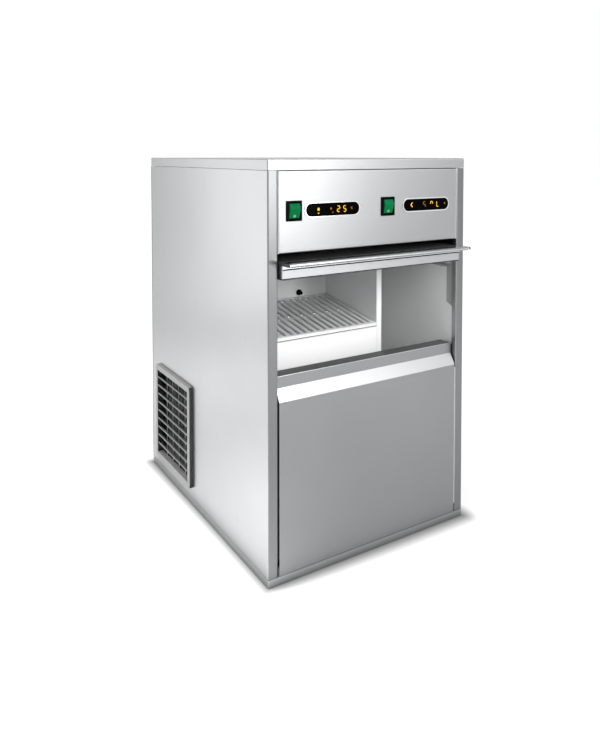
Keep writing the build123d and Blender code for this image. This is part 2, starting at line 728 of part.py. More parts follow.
def chute_hole(y):
    """Cut for the chute through a wall between two places in depth."""
    x = CHUTE_HALF_W + FIT
    return block((-x, x), y, (chute_floor(BIN_BACK) - FIT, CHUTE_TOP + FIT))


def rear_wall_holes(y):
    """Cuts for everything that passes the bin's rear wall."""
    cuts = chute_hole(y)
    cuts += rod((INLET_X, y[0], FLOAT_Z), (INLET_X, y[1], FLOAT_Z), FLOAT_BODY_R + FIT)
    cuts += rod((FEED_X, y[0], FEED_Z), (FEED_X, y[1], FEED_Z), FEED_R + FIT)
    cuts += rod((SENSOR_X, y[0], SENSOR_Z), (SENSOR_X, y[1], SENSOR_Z), SENSOR_R + FIT)
    return cuts


def bin_liner():
    """White one-piece liner of the ice bin, open to the front above the sill."""
    x = (-LINER_HALF_W, LINER_HALF_W)
    z_top = BIN_CEILING + LINER_T
    y_back = behind(BIN_BACK + LINER_T)
    shell = block(x, (behind(BIN_FRONT - LINER_T), y_back), (BIN_FLOOR - LINER_T, z_top))
    shell += block(x, (behind(LINER_LIP), behind(BIN_FRONT)), (LINER_FRONT_TOP, z_top))
    inner_x = (-BIN_HALF_W, BIN_HALF_W)
    cavity = block(inner_x, (behind(BIN_FRONT), behind(BIN_BACK)), (BIN_FLOOR, BIN_CEILING))
    cavity = fillet(cavity.edges().filter_by(Axis.Z), BIN_CORNER)
    cavity = fillet(cavity.faces().sort_by(Axis.Z)[0].edges(), BIN_CORNER / 2)
    mouth_y = (behind(LINER_LIP) - OVERRUN, behind(BIN_FRONT + BIN_CORNER))
    shell -= cavity + block(inner_x, mouth_y, (LINER_FRONT_TOP, BIN_CEILING))
    ledge_z = (LEDGE_TOP - LEDGE_H, LEDGE_TOP)
    rear_y = (behind(BIN_BACK - LEDGE_D), behind(BIN_BACK + LINER_T / 2))
    shell += block((-BIN_HALF_W - LINER_T / 2, DIVIDER_X + DIVIDER_T), rear_y, ledge_z)
    side_y = (behind(TANK_FRONT), behind(BIN_BACK))
    shell += block((-BIN_HALF_W - LINER_T / 2, -BIN_HALF_W + LEDGE_D), side_y, ledge_z)
    shell -= rear_wall_holes((behind(BIN_BACK) - OVERRUN, y_back + OVERRUN))
    drain_z = (BIN_FLOOR - LINER_T - OVERRUN, BIN_FLOOR + OVERRUN)
    return shell - upright(DRAIN_X, DRAIN_DEPTH, drain_z, DRAIN_R + FIT)


def bin_insulation():
    """Foam slabs between the liner and the outer panels."""
    low_y = behind(BIN_FRONT - LINER_T)
    back_y = behind(FOAM_BACK)
    side_x = (-LINER_HALF_W - FIT - FOAM_SIDE, -LINER_HALF_W - FIT)
    side_y = (behind(BIN_FRONT - LINER_T), behind(BIN_BACK + LINER_T))
    side = block(side_x, side_y, (FOAM_FOOT, BIN_CEILING))
    rear_y = (behind(BIN_BACK + LINER_T + FIT), back_y)
    rear = block((-LINER_HALF_W, LINER_HALF_W), rear_y, (FOAM_FOOT, BIN_CEILING))
    rear -= rear_wall_holes((rear_y[0] - OVERRUN, rear_y[1] + OVERRUN))
    floor_z = (FOAM_FOOT, FOAM_FOOT + FOAM_FLOOR)
    floor = block((-LINER_HALF_W, LINER_HALF_W), side_y, floor_z)
    cut_z = (floor_z[0] - OVERRUN, floor_z[1] + OVERRUN)
    floor -= upright(DRAIN_X, DRAIN_DEPTH, cut_z, DRAIN_FLANGE_R + FIT)
    top_z = (BIN_CEILING + LINER_T + FIT, DECK)
    roof = block((-LINER_HALF_W, LINER_HALF_W), (behind(LINER_LIP + FIT), back_y), top_z)
    front_y = PANEL_INNER + PAN_GAUGE + FIT
    slant_y = RECESS_SETBACK + SHEET + 2 * FIT
    front_points = [
        (behind(front_y), FOAM_FOOT),
        (low_y - FIT, FOAM_FOOT),
        (low_y - FIT, LINER_FRONT_TOP),
        (behind(slant_y), LINER_FRONT_TOP),
        (behind(slant_y), RECESS_FOOT + RECESS_RISE),
        (behind(front_y), RECESS_FOOT),
    ]
    front = prism_x(front_points, (-PANEL_HALF, PANEL_HALF))
    return group(side, mirrored(side), rear, floor, roof, front)


def bin_supports():
    """Steel channels on the base pan that carry the insulated bin."""
    channels = []
    half = SUPPORT_W / 2
    for share in SUPPORT_SHARES:
        depth = BIN_BACK * share
        z = (PAN_GAUGE, FOAM_FOOT)
        bar = block((-PANEL_HALF, PANEL_HALF), (behind(depth - half), behind(depth + half)), z)
        inner_y = (behind(depth - half + PAN_GAUGE), behind(depth + half - PAN_GAUGE))
        inner_z = (z[0] - OVERRUN, z[1] - PAN_GAUGE)
        bar -= block((-PANEL_HALF - OVERRUN, PANEL_HALF + OVERRUN), inner_y, inner_z)
        channels.append(bar)
    return group(*channels)


def divider():
    """Upright wall between the slide and the open right-hand bay."""
    y = (behind(TANK_FRONT), behind(BIN_BACK) - FIT)
    wall = block((DIVIDER_X, DIVIDER_X + DIVIDER_T), y, (TANK_FLOOR, DIVIDER_TOP))
    wall = fillet(edges_near(wall, Axis.Z, y=y[0]), DIVIDER_ROUND)
    return fillet(wall.faces().sort_by(Axis.Z)[-1].edges(), DIVIDER_ROUND / 2)


def water_tank():
    """White tank under the slide, its rim sloping with the slide."""
    y = (behind(TANK_FRONT), behind(BIN_BACK) - FIT)
    rim_rear = TANK_RIM + (y[1] - y[0]) * SLIDE_TAN
    outer = [(y[0], TANK_FLOOR), (y[1], TANK_FLOOR), (y[1], rim_rear), (y[0], TANK_RIM)]
    tank = prism_x(outer, TANK_X)
    tank = fillet(edges_near(tank, Axis.Z, x=TANK_X[0], y=y[1]), BIN_CORNER)
    inner_y = (y[0] + TANK_T, y[1] - TANK_T)
    inner_x = (TANK_X[0] + TANK_T, TANK_X[1] - TANK_T)
    well = block(inner_x, inner_y, (TANK_FLOOR + TANK_T, rim_rear + OVERRUN))
    well = fillet(edges_near(well, Axis.Z, x=inner_x[0], y=inner_y[1]), BIN_CORNER - TANK_T)
    hole_y = (inner_y[1] - OVERRUN, y[1] + OVERRUN)
    tank -= well + rod((INLET_X, hole_y[0], FLOAT_Z), (INLET_X, hole_y[1], FLOAT_Z), FLOAT_BODY_R + FIT)
    return tank - rod((FEED_X, hole_y[0], FEED_Z), (FEED_X, hole_y[1], FEED_Z), FEED_R + FIT)


def ice_grate():
    """Slatted slide with a rim and cross rods, sloping down to the front."""
    x = (TANK_X[0] + FIT, TANK_X[1] - FIT)
    slant = SLIDE_T * sin(SLIDE_ANGLE * pi / 180)
    length = (BIN_BACK - TANK_FRONT - slant - 2 * FIT) / cos(SLIDE_ANGLE * pi / 180)
    rim = block(x, (0, length), (-SLIDE_T, 0))
    rim = fillet(edges_near(rim, Axis.Z, x=x[0], y=length), BIN_CORNER)
    field_x = (x[0] + SLIDE_RIM, x[1] - SLIDE_REST)
    field_y = (SLIDE_RIM, length - SLIDE_RIM)
    grate = rim - block(field_x, field_y, (-SLIDE_T - OVERRUN, OVERRUN))
    pitch = (field_x[1] - field_x[0]) / SLAT_COUNT
    half = pitch * SLAT_WIDTH_SHARE / 2
    outline = make_face([
        Polyline((-half, -SLAT_CROWN), (-half, -SLAT_H), (half, -SLAT_H), (half, -SLAT_CROWN)),
        ThreePointArc((half, -SLAT_CROWN), (0, 0), (-half, -SLAT_CROWN)),
    ])
    slat_y = (field_y[0] - SLIDE_RIM / 2, field_y[1] + SLIDE_RIM / 2)
    for count in range(SLAT_COUNT):
        grate += prism_y(Pos(field_x[0] + pitch * (count + 1 / 2), 0) * outline, slat_y)
    for share in CROSS_ROD_SHARES:
        rod_x = (field_x[0] - SLIDE_RIM / 2, field_x[1] + SLIDE_RIM / 2)
        grate += across(length * share, -SLAT_H, rod_x, CROSS_ROD_R)
    return Pos(0, behind(TANK_FRONT), SLIDE_LOW) * Rot(X=SLIDE_ANGLE) * grate


def ice_level_sensor():
    """Small black probe on the bin's rear wall, just above the slide."""
    wall = behind(BIN_BACK)
    probe = rod((SENSOR_X, wall - SENSOR_REACH, SENSOR_Z), (SENSOR_X, behind(FOAM_BACK), SENSOR_Z), SENSOR_R)
    probe = fillet(probe.faces().sort_by(Axis.Y)[0].edges(), SENSOR_R / 2)
    collar_y = (wall - FIT - SENSOR_COLLAR_T, wall - FIT)
    return probe + rod((SENSOR_X, collar_y[0], SENSOR_Z), (SENSOR_X, collar_y[1], SENSOR_Z), SENSOR_COLLAR_R)


# Door with its guides

def door_skin():
    """Steel outer skin of the door, folded down on all four edges."""
    y = (behind(DOOR_FRONT), behind(DOOR_BACK))
    z = (DOOR_UNDER + DOOR_LINER_T, DOOR_TOP)
    skin = block((-DOOR_HALF_W, DOOR_HALF_W), y, z)
    skin = fillet(skin.edges().filter_by(Axis.Z), DOOR_EDGE)
    skin = fillet(skin.faces().sort_by(Axis.Z)[-1].edges(), DOOR_EDGE / 2)
    inner_x = DOOR_HALF_W - DOOR_SKIN
    inner_y = (y[0] + DOOR_SKIN, y[1] - DOOR_SKIN)
    return skin - block((-inner_x, inner_x), inner_y, (z[0] - OVERRUN, z[1] - DOOR_SKIN))


def door_liner():
    """Plastic inner panel of the door with a shallow raised field."""
    y = (behind(DOOR_FRONT), behind(DOOR_BACK))
    z = (DOOR_UNDER, DOOR_UNDER + DOOR_LINER_T - FIT)
    panel = block((-DOOR_HALF_W, DOOR_HALF_W), y, z)
    panel = fillet(panel.edges().filter_by(Axis.Z), DOOR_EDGE)
    inset = DOOR_SKIN + FIT
    plug_x = DOOR_HALF_W - inset
    plug = block((-plug_x, plug_x), (y[0] + inset, y[1] - inset), (z[0], z[1] + 2 * DOOR_LINER_T))
    panel += plug
    well_x = plug_x - DOOR_LINER_T
    well_y = (y[0] + inset + DOOR_LINER_T, y[1] - inset - DOOR_LINER_T)
    return panel - block((-well_x, well_x), well_y, (z[1], z[1] + 2 * DOOR_LINER_T + OVERRUN))


def door_insulation():
    """Foam core between the skin and the inner panel."""
    inset = DOOR_SKIN + 2 * FIT + DOOR_LINER_T
    x = DOOR_HALF_W - inset
    y = (behind(DOOR_FRONT + inset), behind(DOOR_BACK - inset))
    return block((-x, x), y, (DOOR_UNDER + DOOR_LINER_T, DOOR_TOP - DOOR_SKIN - FIT))


def door_handle():
    """Handle profile along the door's lower edge: a rounded lip on a narrow web."""
    root = behind(DOOR_FRONT) - FIT
    nose = root - LIP_REACH
    top = DOOR_TOP
    low = top - LIP_T
    half = LIP_T / 2
    outline = [
        Line((root, top), (nose + half, top)),
        ThreePointArc((nose + half, top), (nose, top - half), (nose + half, low)),
        Polyline((nose + half, low), (root - DOOR_EDGE, low), (root - DOOR_EDGE, low - LIP_ROOT),
                 (root, low - LIP_ROOT), (root, top)),
    ]
    face = make_face(outline)
    return extrude(Plane.YZ.offset(-DOOR_HALF_W) * face, 2 * DOOR_HALF_W)


def door_handle_caps():
    """Dark end caps that close the two ends of the handle profile."""
    root = behind(DOOR_FRONT) - FIT
    nose = root - LIP_REACH
    x = (-DOOR_HALF_W - FIT - LIP_CAP_W, -DOOR_HALF_W - FIT)
    cap = block(x, (nose, root), (DOOR_TOP - LIP_T, DOOR_TOP))
    front = edges_near(cap, Axis.X, y=nose)
    cap = fillet(front, LIP_T / 2 - FIT)
    return group(cap, mirrored(cap))


def door_hinge_pins():
    """Steel brackets under the door's inner face, each with a riveted pin."""
    y = behind(PIN_DEPTH)
    ear_x = (-DOOR_HALF_W, -DOOR_HALF_W + EAR_T)
    top = DOOR_UNDER - FIT
    plate = block((ear_x[0], ear_x[0] + EAR_PLATE), (y - EAR_PLATE / 2, y + EAR_PLATE / 2), (top - EAR_T, top))
    ear = block(ear_x, (y - EAR_HALF_W, y + EAR_HALF_W), (PIN_Z, top))
    ear += across(y, PIN_Z, ear_x, EAR_HALF_W)
    pin = across(y, PIN_Z, (ear_x[0] + EAR_T / 2 - PIN_LENGTH + RAIL_T, ear_x[1]), PIN_R)
    bracket = plate + ear + pin
    return group(bracket, mirrored(bracket))


def door_rollers():
    """Nylon rollers on the hinge pins, running in the slots of the guide rails."""
    y = behind(PIN_DEPTH)
    x = (-RAIL_X[0] - ROLLER_W - FIT, -RAIL_X[0] - FIT)
    roller = across(y, PIN_Z, x, ROLLER_R)
    roller -= across(y, PIN_Z, (x[0] - OVERRUN, x[1] + OVERRUN), PIN_R + RUN)
    return group(roller, mirrored(roller))


def door_guide_rails():
    """L-shaped rails on the inner walls, with the long slot for the rollers."""
    front = LINER_LIP
    rear = PIN_DEPTH + ROLLER_R + RAIL_HALF_H
    outline = [
        (behind(front), RAIL_FOOT),
        (behind(front + RAIL_WIDTH), RAIL_FOOT + RAIL_SLANT),
        (behind(front + RAIL_WIDTH), PIN_Z - RAIL_HALF_H),
        (behind(rear), PIN_Z - RAIL_HALF_H),
        (behind(rear), PIN_Z + RAIL_HALF_H),
        (behind(front), PIN_Z + RAIL_HALF_H),
    ]
    rail = prism_x(outline, RAIL_X)
    slot_r = ROLLER_R + FIT
    slot_x = (RAIL_X[0] - OVERRUN, RAIL_X[1] + OVERRUN)
    slot_y = (behind(DOOR_CLOSED_PIN), behind(PIN_DEPTH))
    rail -= block(slot_x, slot_y, (PIN_Z - slot_r, PIN_Z + slot_r))
    for y in slot_y:
        rail -= across(y, PIN_Z, slot_x, slot_r)
    return group(rail, mirrored(rail))


# Controls

def switch_housings():
    """Black bezels with the pockets that the rockers turn in."""
    housings = []
    for x in SWITCH_XS:
        bezel = Pos(x, CONTROL_Z) * Rectangle(BEZEL_W, BEZEL_H)
        body = Pos(x, CONTROL_Z) * Rectangle(SWITCH_BODY_W, SWITCH_BODY_H)
        pocket = Pos(x, CONTROL_Z) * Rectangle(ROCKER_W + 2 * FIT, ROCKER_POCKET_H)
        housing = prism_y(bezel, (Y_FRONT - BEZEL_T, Y_FRONT))
        housing = fillet(housing.edges().filter_by(Axis.Y), BEZEL_EDGE)
        housing = fillet(housing.faces().sort_by(Axis.Y)[0].edges(), BEZEL_EDGE / 2)
        housing += prism_y(body, (Y_FRONT, Y_FRONT + SWITCH_BODY_D))
        housing -= prism_y(pocket, (Y_FRONT - BEZEL_T - OVERRUN, Y_FRONT + ROCKER_POCKET_D))
        axle_half = ROCKER_W / 2 + TRUNNION_L + 2 * FIT
        housing -= across(Y_FRONT + ROCKER_WAIST, CONTROL_Z, (x - axle_half, x + axle_half), TRUNNION_R + RUN)
        housings.append(housing)
    return group(*housings)


def rocker(x):
    """Green rocker, hollowed in front between its two raised ends, on short trunnions."""
    half = ROCKER_H / 2
    outline = [
        (-ROCKER_CREST, -half),
        (-ROCKER_WAIST / 2, 0),
        (-ROCKER_CREST, half),
        (0, half),
        (ROCKER_DEPTH, half / 2),
        (ROCKER_DEPTH, -half / 2),
        (0, -half),
    ]
    face = make_face(Polyline(*outline, close=True))
    lever = extrude(Plane.YZ.offset(-ROCKER_W / 2) * face, ROCKER_W)
    tip_half = ROCKER_W / 2 + TRUNNION_L
    lever += across(0, 0, (-tip_half, tip_half), TRUNNION_R)
    return Pos(x, Y_FRONT + ROCKER_WAIST, CONTROL_Z) * Rot(X=ROCKER_TILT) * lever


def display_bezels():
    """Thin bright rims of the displays, with sleeves through the fascia."""
    bezels = []
    for x in DISPLAY_XS:
        rim = Pos(x, CONTROL_Z) * stadium(DISPLAY_W, DISPLAY_H)
        hole_size = (DISPLAY_W - 2 * DISPLAY_RIM - 2 * FIT, DISPLAY_H - 2 * DISPLAY_RIM - 2 * FIT)
        sleeve = Pos(x, CONTROL_Z) * stadium(*hole_size)
        inner = Pos(x, CONTROL_Z) * stadium(hole_size[0] - DISPLAY_RIM, hole_size[1] - DISPLAY_RIM)
        bezel = prism_y(rim, (Y_FRONT - DISPLAY_PROUD, Y_FRONT))
        bezel += prism_y(sleeve, (Y_FRONT, Y_FRONT + DISPLAY_DEPTH))
        bezel -= prism_y(inner, (Y_FRONT - DISPLAY_PROUD - OVERRUN, Y_FRONT + DISPLAY_DEPTH + OVERRUN))
        bezels.append(bezel)
    return group(*bezels)


def display_lenses():
    """Dark round-ended windows of the displays."""
    lenses = []
    for x in DISPLAY_XS:
        shrink = 2 * DISPLAY_RIM + 4 * FIT + DISPLAY_RIM
        face = Pos(x, CONTROL_Z) * stadium(DISPLAY_W - shrink, DISPLAY_H - shrink)
        front = Y_FRONT - DISPLAY_PROUD + DISPLAY_SINK
        lenses.append(prism_y(face, (front, front + LENS_T)))
    return group(*lenses)


def display_boards():
    """Circuit boards that close the rear of the display sleeves."""
    boards = []
    for x in DISPLAY_XS:
        y = Y_FRONT + DISPLAY_DEPTH + FIT
        half_w = DISPLAY_W / 2
        half_h = DISPLAY_H / 2
        board = block((x - half_w, x + half_w), (y, y + BOARD_T), (CONTROL_Z - half_h, CONTROL_Z + half_h))
        for side in (-1, 1):
            middle = x + side * half_w / 2
            chip_x = (middle - half_h / 2, middle + half_h / 2)
            board += block(chip_x, (y + BOARD_T, y + BOARD_T + CHIP_H), (CONTROL_Z - half_h / 2, CONTROL_Z + half_h / 2))
        boards.append(board)
    return group(*boards)


def control_box():
    """Open sheet box on the bin's roof for the control board."""
    y = (behind(BOX_DEPTHS[0]), behind(BOX_DEPTHS[1]))
    box = block(BOX_X, y, (DECK, DECK + BOX_H))
    inner_x = (BOX_X[0] + BOX_GAUGE, BOX_X[1] - BOX_GAUGE)
    inner_y = (y[0] + BOX_GAUGE, y[1] - BOX_GAUGE)
    return box - block(inner_x, inner_y, (DECK + BOX_GAUGE, DECK + BOX_H + OVERRUN))


def control_board():
    """Circuit board on posts, with a transformer and relays."""
    x = (BOX_X[0] + BOARD_MARGIN, BOX_X[1] - BOARD_MARGIN)
    depth = (BOX_DEPTHS[0] + BOARD_MARGIN, BOX_DEPTHS[1] - BOARD_MARGIN)
    foot = DECK + BOX_GAUGE + FIT
    top = foot + BOARD_RAISE + BOARD_T
    board = block(x, (behind(depth[0]), behind(depth[1])), (foot + BOARD_RAISE, top))
    inset = 2 * POST_R
    for post_x in (x[0] + inset, x[1] - inset):
        for post_depth in (depth[0] + inset, depth[1] - inset):
            board += upright(post_x, post_depth, (foot, foot + BOARD_RAISE), POST_R)
    start = (x[0] + 3 * inset, behind(depth[0]) + inset)
    board += block((start[0], start[0] + TRANSFORMER[0]), (start[1], start[1] + TRANSFORMER[1]),
                   (top, top + TRANSFORMER[2]))
    for count in range(3):
        relay_x = start[0] + TRANSFORMER[0] + inset + (RELAY[0] + POST_R) * count
        board += block((relay_x, relay_x + RELAY[0]), (start[1], start[1] + RELAY[1]), (top, top + RELAY[2]))
    return board


# Flake evaporator and drive

def evaporator_barrel():
    """Freezing barrel with end flanges, a water stub and two refrigerant stubs."""
    z = (BARREL_FOOT, BARREL_TOP)
    outer_r = BARREL_BORE_R + BARREL_T
    barrel = upright(0, EVAP_DEPTH, z, outer_r)
    barrel += upright(0, EVAP_DEPTH, (z[0], z[0] + BARREL_FLANGE_T), BARREL_FLANGE_R)
    barrel += upright(0, EVAP_DEPTH, (z[1] - BARREL_FLANGE_T, z[1]), BARREL_FLANGE_R)
    centre = behind(EVAP_DEPTH)
    start = BARREL_BORE_R + BARREL_T / 2
    barrel += rod((0, centre - start, WATER_STUB_Z), (0, centre - STUB_REACH, WATER_STUB_Z), STUB_R)
    for height in (COLD_IN_Z, COLD_OUT_Z):
        barrel += rod((start, centre, height), (STUB_REACH, centre, height), STUB_R)
    barrel -= upright(0, EVAP_DEPTH, (z[0] - OVERRUN, z[1] + OVERRUN), BARREL_BORE_R)
    water_end = (0, centre - STUB_REACH - OVERRUN, WATER_STUB_Z)
    return barrel - rod((0, centre, WATER_STUB_Z), water_end, STUB_R - PIPE_WALL)


def barrel_insulation():
    """Two foam half shells round the freezing barrel."""
    z = (BARREL_FOOT + BARREL_FLANGE_T + FIT, BARREL_TOP - BARREL_FLANGE_T - FIT)
    jacket = upright(0, EVAP_DEPTH, z, JACKET_R)
    jacket -= upright(0, EVAP_DEPTH, (z[0] - OVERRUN, z[1] + OVERRUN), BARREL_BORE_R + BARREL_T + FIT)
    centre = behind(EVAP_DEPTH)
    far = JACKET_R + OVERRUN
    jacket -= rod((0, centre, WATER_STUB_Z), (0, centre - far, WATER_STUB_Z), STUB_R + FIT)
    for height in (COLD_IN_Z, COLD_OUT_Z):
        jacket -= rod((0, centre, height), (far, centre, height), STUB_R + FIT)
    jacket -= block((-far, far), (centre - FIT / 2, centre + FIT / 2), (z[0] - OVERRUN, z[1] + OVERRUN))
    return group(jacket)


def ice_head():
    """Head on the barrel that turns the flakes forward into the chute."""
    z = (BARREL_TOP + FIT, BARREL_TOP + FIT + HEAD_H)
    roof = z[1] - HEAD_ROOF
    head = upright(0, EVAP_DEPTH, z, HEAD_R)
    head += upright(0, EVAP_DEPTH, (z[0], z[0] + BARREL_FLANGE_T), BARREL_FLANGE_R)
    head -= upright(0, EVAP_DEPTH, (z[0] - OVERRUN, roof), BARREL_BORE_R)
    centre = behind(EVAP_DEPTH)
    spout_x = CHUTE_HALF_W - CHUTE_T
    spout_z = (CHUTE_LIP + CHUTE_DROP + CHUTE_T, CHUTE_TOP - CHUTE_T)
    head -= block((-spout_x, spout_x), (centre - HEAD_R - OVERRUN, centre), spout_z)
    head -= upright(0, EVAP_DEPTH, (roof - OVERRUN, z[1] + OVERRUN), BEARING_R + FIT)
    cap = upright(0, EVAP_DEPTH, (z[1] + FIT, z[1] + FIT + HEAD_CAP_T), HEAD_CAP_R)
    cap = chamfer(cap.faces().sort_by(Axis.Z)[-1].edges(), HEAD_CAP_T / 3)
    return group(head, cap)


def auger():
    """Auger with a helical flight, and paddles that sweep flakes to the spout."""
    head_top = BARREL_TOP + FIT + HEAD_H
    shaft = upright(0, EVAP_DEPTH, (SHAFT_SPLIT + FIT, head_top), SHAFT_R)
    radius = BARREL_BORE_R - FLIGHT_GAP
    helix = Helix(pitch=FLIGHT_PITCH, height=FLIGHT_RISE, radius=SHAFT_R)
    start = helix @ 0
    section_plane = Plane(origin=start, x_dir=(1, 0, 0), z_dir=helix % 0)
    reach = radius - SHAFT_R / 2
    section = section_plane * Pos(reach / 2 - SHAFT_R / 2, 0) * Rectangle(reach, FLIGHT_T)
    flight = sweep(section, helix, is_frenet=True)
    body = shaft + Pos(0, behind(EVAP_DEPTH), FLIGHT_START) * flight
    paddle_r = radius - FIT
    centre = behind(EVAP_DEPTH)
    paddle_y = (centre - PADDLE_T / 2, centre + PADDLE_T / 2)
    return body + block((-paddle_r, paddle_r), paddle_y, (PADDLE_Z, PADDLE_Z + PADDLE_H))


def auger_bearings():
    """Rings that carry the auger's shaft below and above."""
    rings = []
    low = BARREL_FOOT - FIT - BEARING_H
    high = BARREL_TOP + FIT + HEAD_H - BEARING_H
    for foot in (low, high):
        ring = upright(0, EVAP_DEPTH, (foot, foot + BEARING_H), BEARING_R)
        bore = (foot - OVERRUN, foot + BEARING_H + OVERRUN)
        rings.append(ring - upright(0, EVAP_DEPTH, bore, SHAFT_R + RUN))
    return group(*rings)


def drum_housing():
    """Cast housing between the gearbox and the barrel, round the coupling."""
    z = (HOUSING_FOOT + FIT, BARREL_FOOT - FIT)
    body = upright(0, EVAP_DEPTH, z, HOUSING_R)
    body += upright(0, EVAP_DEPTH, (z[0], z[0] + HOUSING_FLANGE_T), HOUSING_FLANGE_R)
    body += upright(0, EVAP_DEPTH, (z[1] - HOUSING_FLANGE_T, z[1]), BARREL_FLANGE_R)
    return body - upright(0, EVAP_DEPTH, (z[0] - OVERRUN, z[1] + OVERRUN), BEARING_R + FIT)


def output_coupling():
    """Gearbox output shaft with the sleeve that drives the auger."""
    sleeve = upright(0, EVAP_DEPTH, COUPLING_Z, COUPLING_R)
    sleeve -= upright(0, EVAP_DEPTH, (SHAFT_SPLIT, COUPLING_Z[1] + OVERRUN), SHAFT_R + RUN)
    return sleeve + upright(0, EVAP_DEPTH, (OUTPUT_START, SHAFT_SPLIT), SHAFT_R)


def drive_gearbox():
    """Cast gearbox on four feet, with a boss round its output shaft."""
    x = (-GEARBOX_HALF_W, GEARBOX_HALF_W)
    y = (behind(EVAP_DEPTH - GEARBOX_HALF_D), behind(EVAP_DEPTH + GEARBOX_HALF_D))
    box = block(x, y, GEARBOX_Z)
    box = fillet(box.edges().filter_by(Axis.Z), GEARBOX_ROUND)
    box = fillet(box.faces().sort_by(Axis.Z)[-1].edges(), GEARBOX_ROUND / 2)
    for foot_x in ((x[0], x[0] + GEARBOX_FOOT), (x[1] - GEARBOX_FOOT, x[1])):
        for foot_y in ((y[0], y[0] + GEARBOX_FOOT), (y[1] - GEARBOX_FOOT, y[1])):
            foot = block(foot_x, foot_y, (PAN_GAUGE, GEARBOX_Z[0] + GEARBOX_ROUND))
            box += fillet(foot.edges().filter_by(Axis.Z), GEARBOX_ROUND)
    box += upright(0, EVAP_DEPTH, (GEARBOX_Z[0] + GEARBOX_ROUND, HOUSING_FOOT), GEARBOX_BOSS_R)
    return box - upright(0, EVAP_DEPTH, (OUTPUT_START - FIT, HOUSING_FOOT + OVERRUN), SHAFT_R + RUN)


def drive_motor():
    """Ribbed motor flanged to the rear of the gearbox."""
    start = EVAP_DEPTH + GEARBOX_HALF_D + FIT
    end = start + MOTOR_LENGTH
    motor = rod((0, behind(start), MOTOR_Z), (0, behind(end), MOTOR_Z), MOTOR_R - MOTOR_RIB_H)
    rib_y = (behind(start) + GEARBOX_ROUND, behind(end) - GEARBOX_ROUND)
    for count in range(MOTOR_RIBS):
        rib = block((-MOTOR_RIB_H / 2, MOTOR_RIB_H / 2), rib_y, (MOTOR_R / 2, MOTOR_R))
        turn = Pos(0, 0, MOTOR_Z) * Rot(Y=360 / MOTOR_RIBS * count)
        motor += turn * rib
    return motor + rod((0, behind(start), MOTOR_Z), (0, behind(start) + GEARBOX_ROUND / 2, MOTOR_Z), MOTOR_R)


def ice_chute():
    """Sheet duct from the head through the bin's rear wall, its floor sloping down."""
    rear = EVAP_DEPTH - HEAD_R - FIT
    outer = [
        (behind(CHUTE_FRONT), chute_floor(CHUTE_FRONT)),
        (behind(rear), chute_floor(rear)),
        (behind(rear), CHUTE_TOP),
        (behind(CHUTE_FRONT), CHUTE_TOP),
    ]
    ends = (CHUTE_FRONT - OVERRUN, rear + OVERRUN)
    inner = [
        (behind(ends[0]), chute_floor(ends[0]) + CHUTE_T),
        (behind(ends[1]), chute_floor(ends[1]) + CHUTE_T),
        (behind(ends[1]), CHUTE_TOP - CHUTE_T),
        (behind(ends[0]), CHUTE_TOP - CHUTE_T),
    ]
    duct = prism_x(outer, (-CHUTE_HALF_W, CHUTE_HALF_W))
    return duct - prism_x(inner, (-CHUTE_HALF_W + CHUTE_T, CHUTE_HALF_W - CHUTE_T))


# Refrigeration

def compressor():
    """Hermetic compressor: domed shell, weld band, foot plate and pipe stubs."""
    crown = COMP_R * COMP_CROWN_SHARE
    shell = upright(COMP_X, COMP_DEPTH, COMP_Z, COMP_R)
    shell = fillet(shell.faces().sort_by(Axis.Z)[-1].edges(), crown)
    shell = fillet(shell.faces().sort_by(Axis.Z)[0].edges(), COMP_BOWL)
    band_z = (COMP_BAND_Z, COMP_BAND_Z + COMP_BAND_H)
    shell += upright(COMP_X, COMP_DEPTH, band_z, COMP_R + COMP_BAND_T)
    half_w, half_d = foot_plate_half()
    plate_x = (COMP_X - half_w, COMP_X + half_w)
    plate_y = (behind(COMP_DEPTH - half_d), behind(COMP_DEPTH + half_d))
    plate = block(plate_x, plate_y, (COMP_PLATE_Z, COMP_PLATE_Z + COMP_PLATE_T))
    shell += fillet(plate.edges().filter_by(Axis.Z), GROMMET_R)
    shell += upright(COMP_X, COMP_DEPTH, (COMP_PLATE_Z, COMP_Z[0] + COMP_BOWL), COMP_R - COMP_BOWL)
    for shares in (DISCHARGE_SHARES, SUCTION_SHARES, PROCESS_SHARES):
        x, depth = stub_place(shares)
        shell += upright(x, depth, (COMP_Z[1] - crown, STUB_TOP), COMP_STUB_R)
    for x, depth in grommet_places():
        hole_z = (COMP_PLATE_Z - OVERRUN, COMP_PLATE_Z + COMP_PLATE_T + OVERRUN)
        shell -= upright(x, depth, hole_z, GROMMET_WAIST_R + FIT)
    return shell


def stub_place(shares):
    """X and depth of a pipe stub on the compressor's crown."""
    return COMP_X + COMP_R * shares[0], COMP_DEPTH + COMP_R * shares[1]


def foot_plate_half():
    """Half the width and half the depth of the compressor's foot plate."""
    return COMP_R + COMP_PLATE_OVER, COMP_R - COMP_PLATE_SHORT


def grommet_places():
    """Centres of the rubber mounts under the compressor's foot plate."""
    half_w, half_d = foot_plate_half()
    reach_x = half_w - GROMMET_INSET
    reach_y = half_d - GROMMET_INSET
    return [(COMP_X + i * reach_x, COMP_DEPTH + j * reach_y) for i in (-1, 1) for j in (-1, 1)]


def compressor_grommets():
    """Rubber mounts between the base pan and the compressor's foot plate."""
    mounts = []
    for x, depth in grommet_places():
        body = upright(x, depth, (PAN_GAUGE, COMP_PLATE_Z - FIT), GROMMET_R)
        neck_top = COMP_PLATE_Z + COMP_PLATE_T + FIT
        body += upright(x, depth, (PAN_GAUGE, neck_top), GROMMET_WAIST_R)
        mounts.append(body + upright(x, depth, (neck_top, neck_top + COMP_PLATE_T), GROMMET_R))
    return group(*mounts)


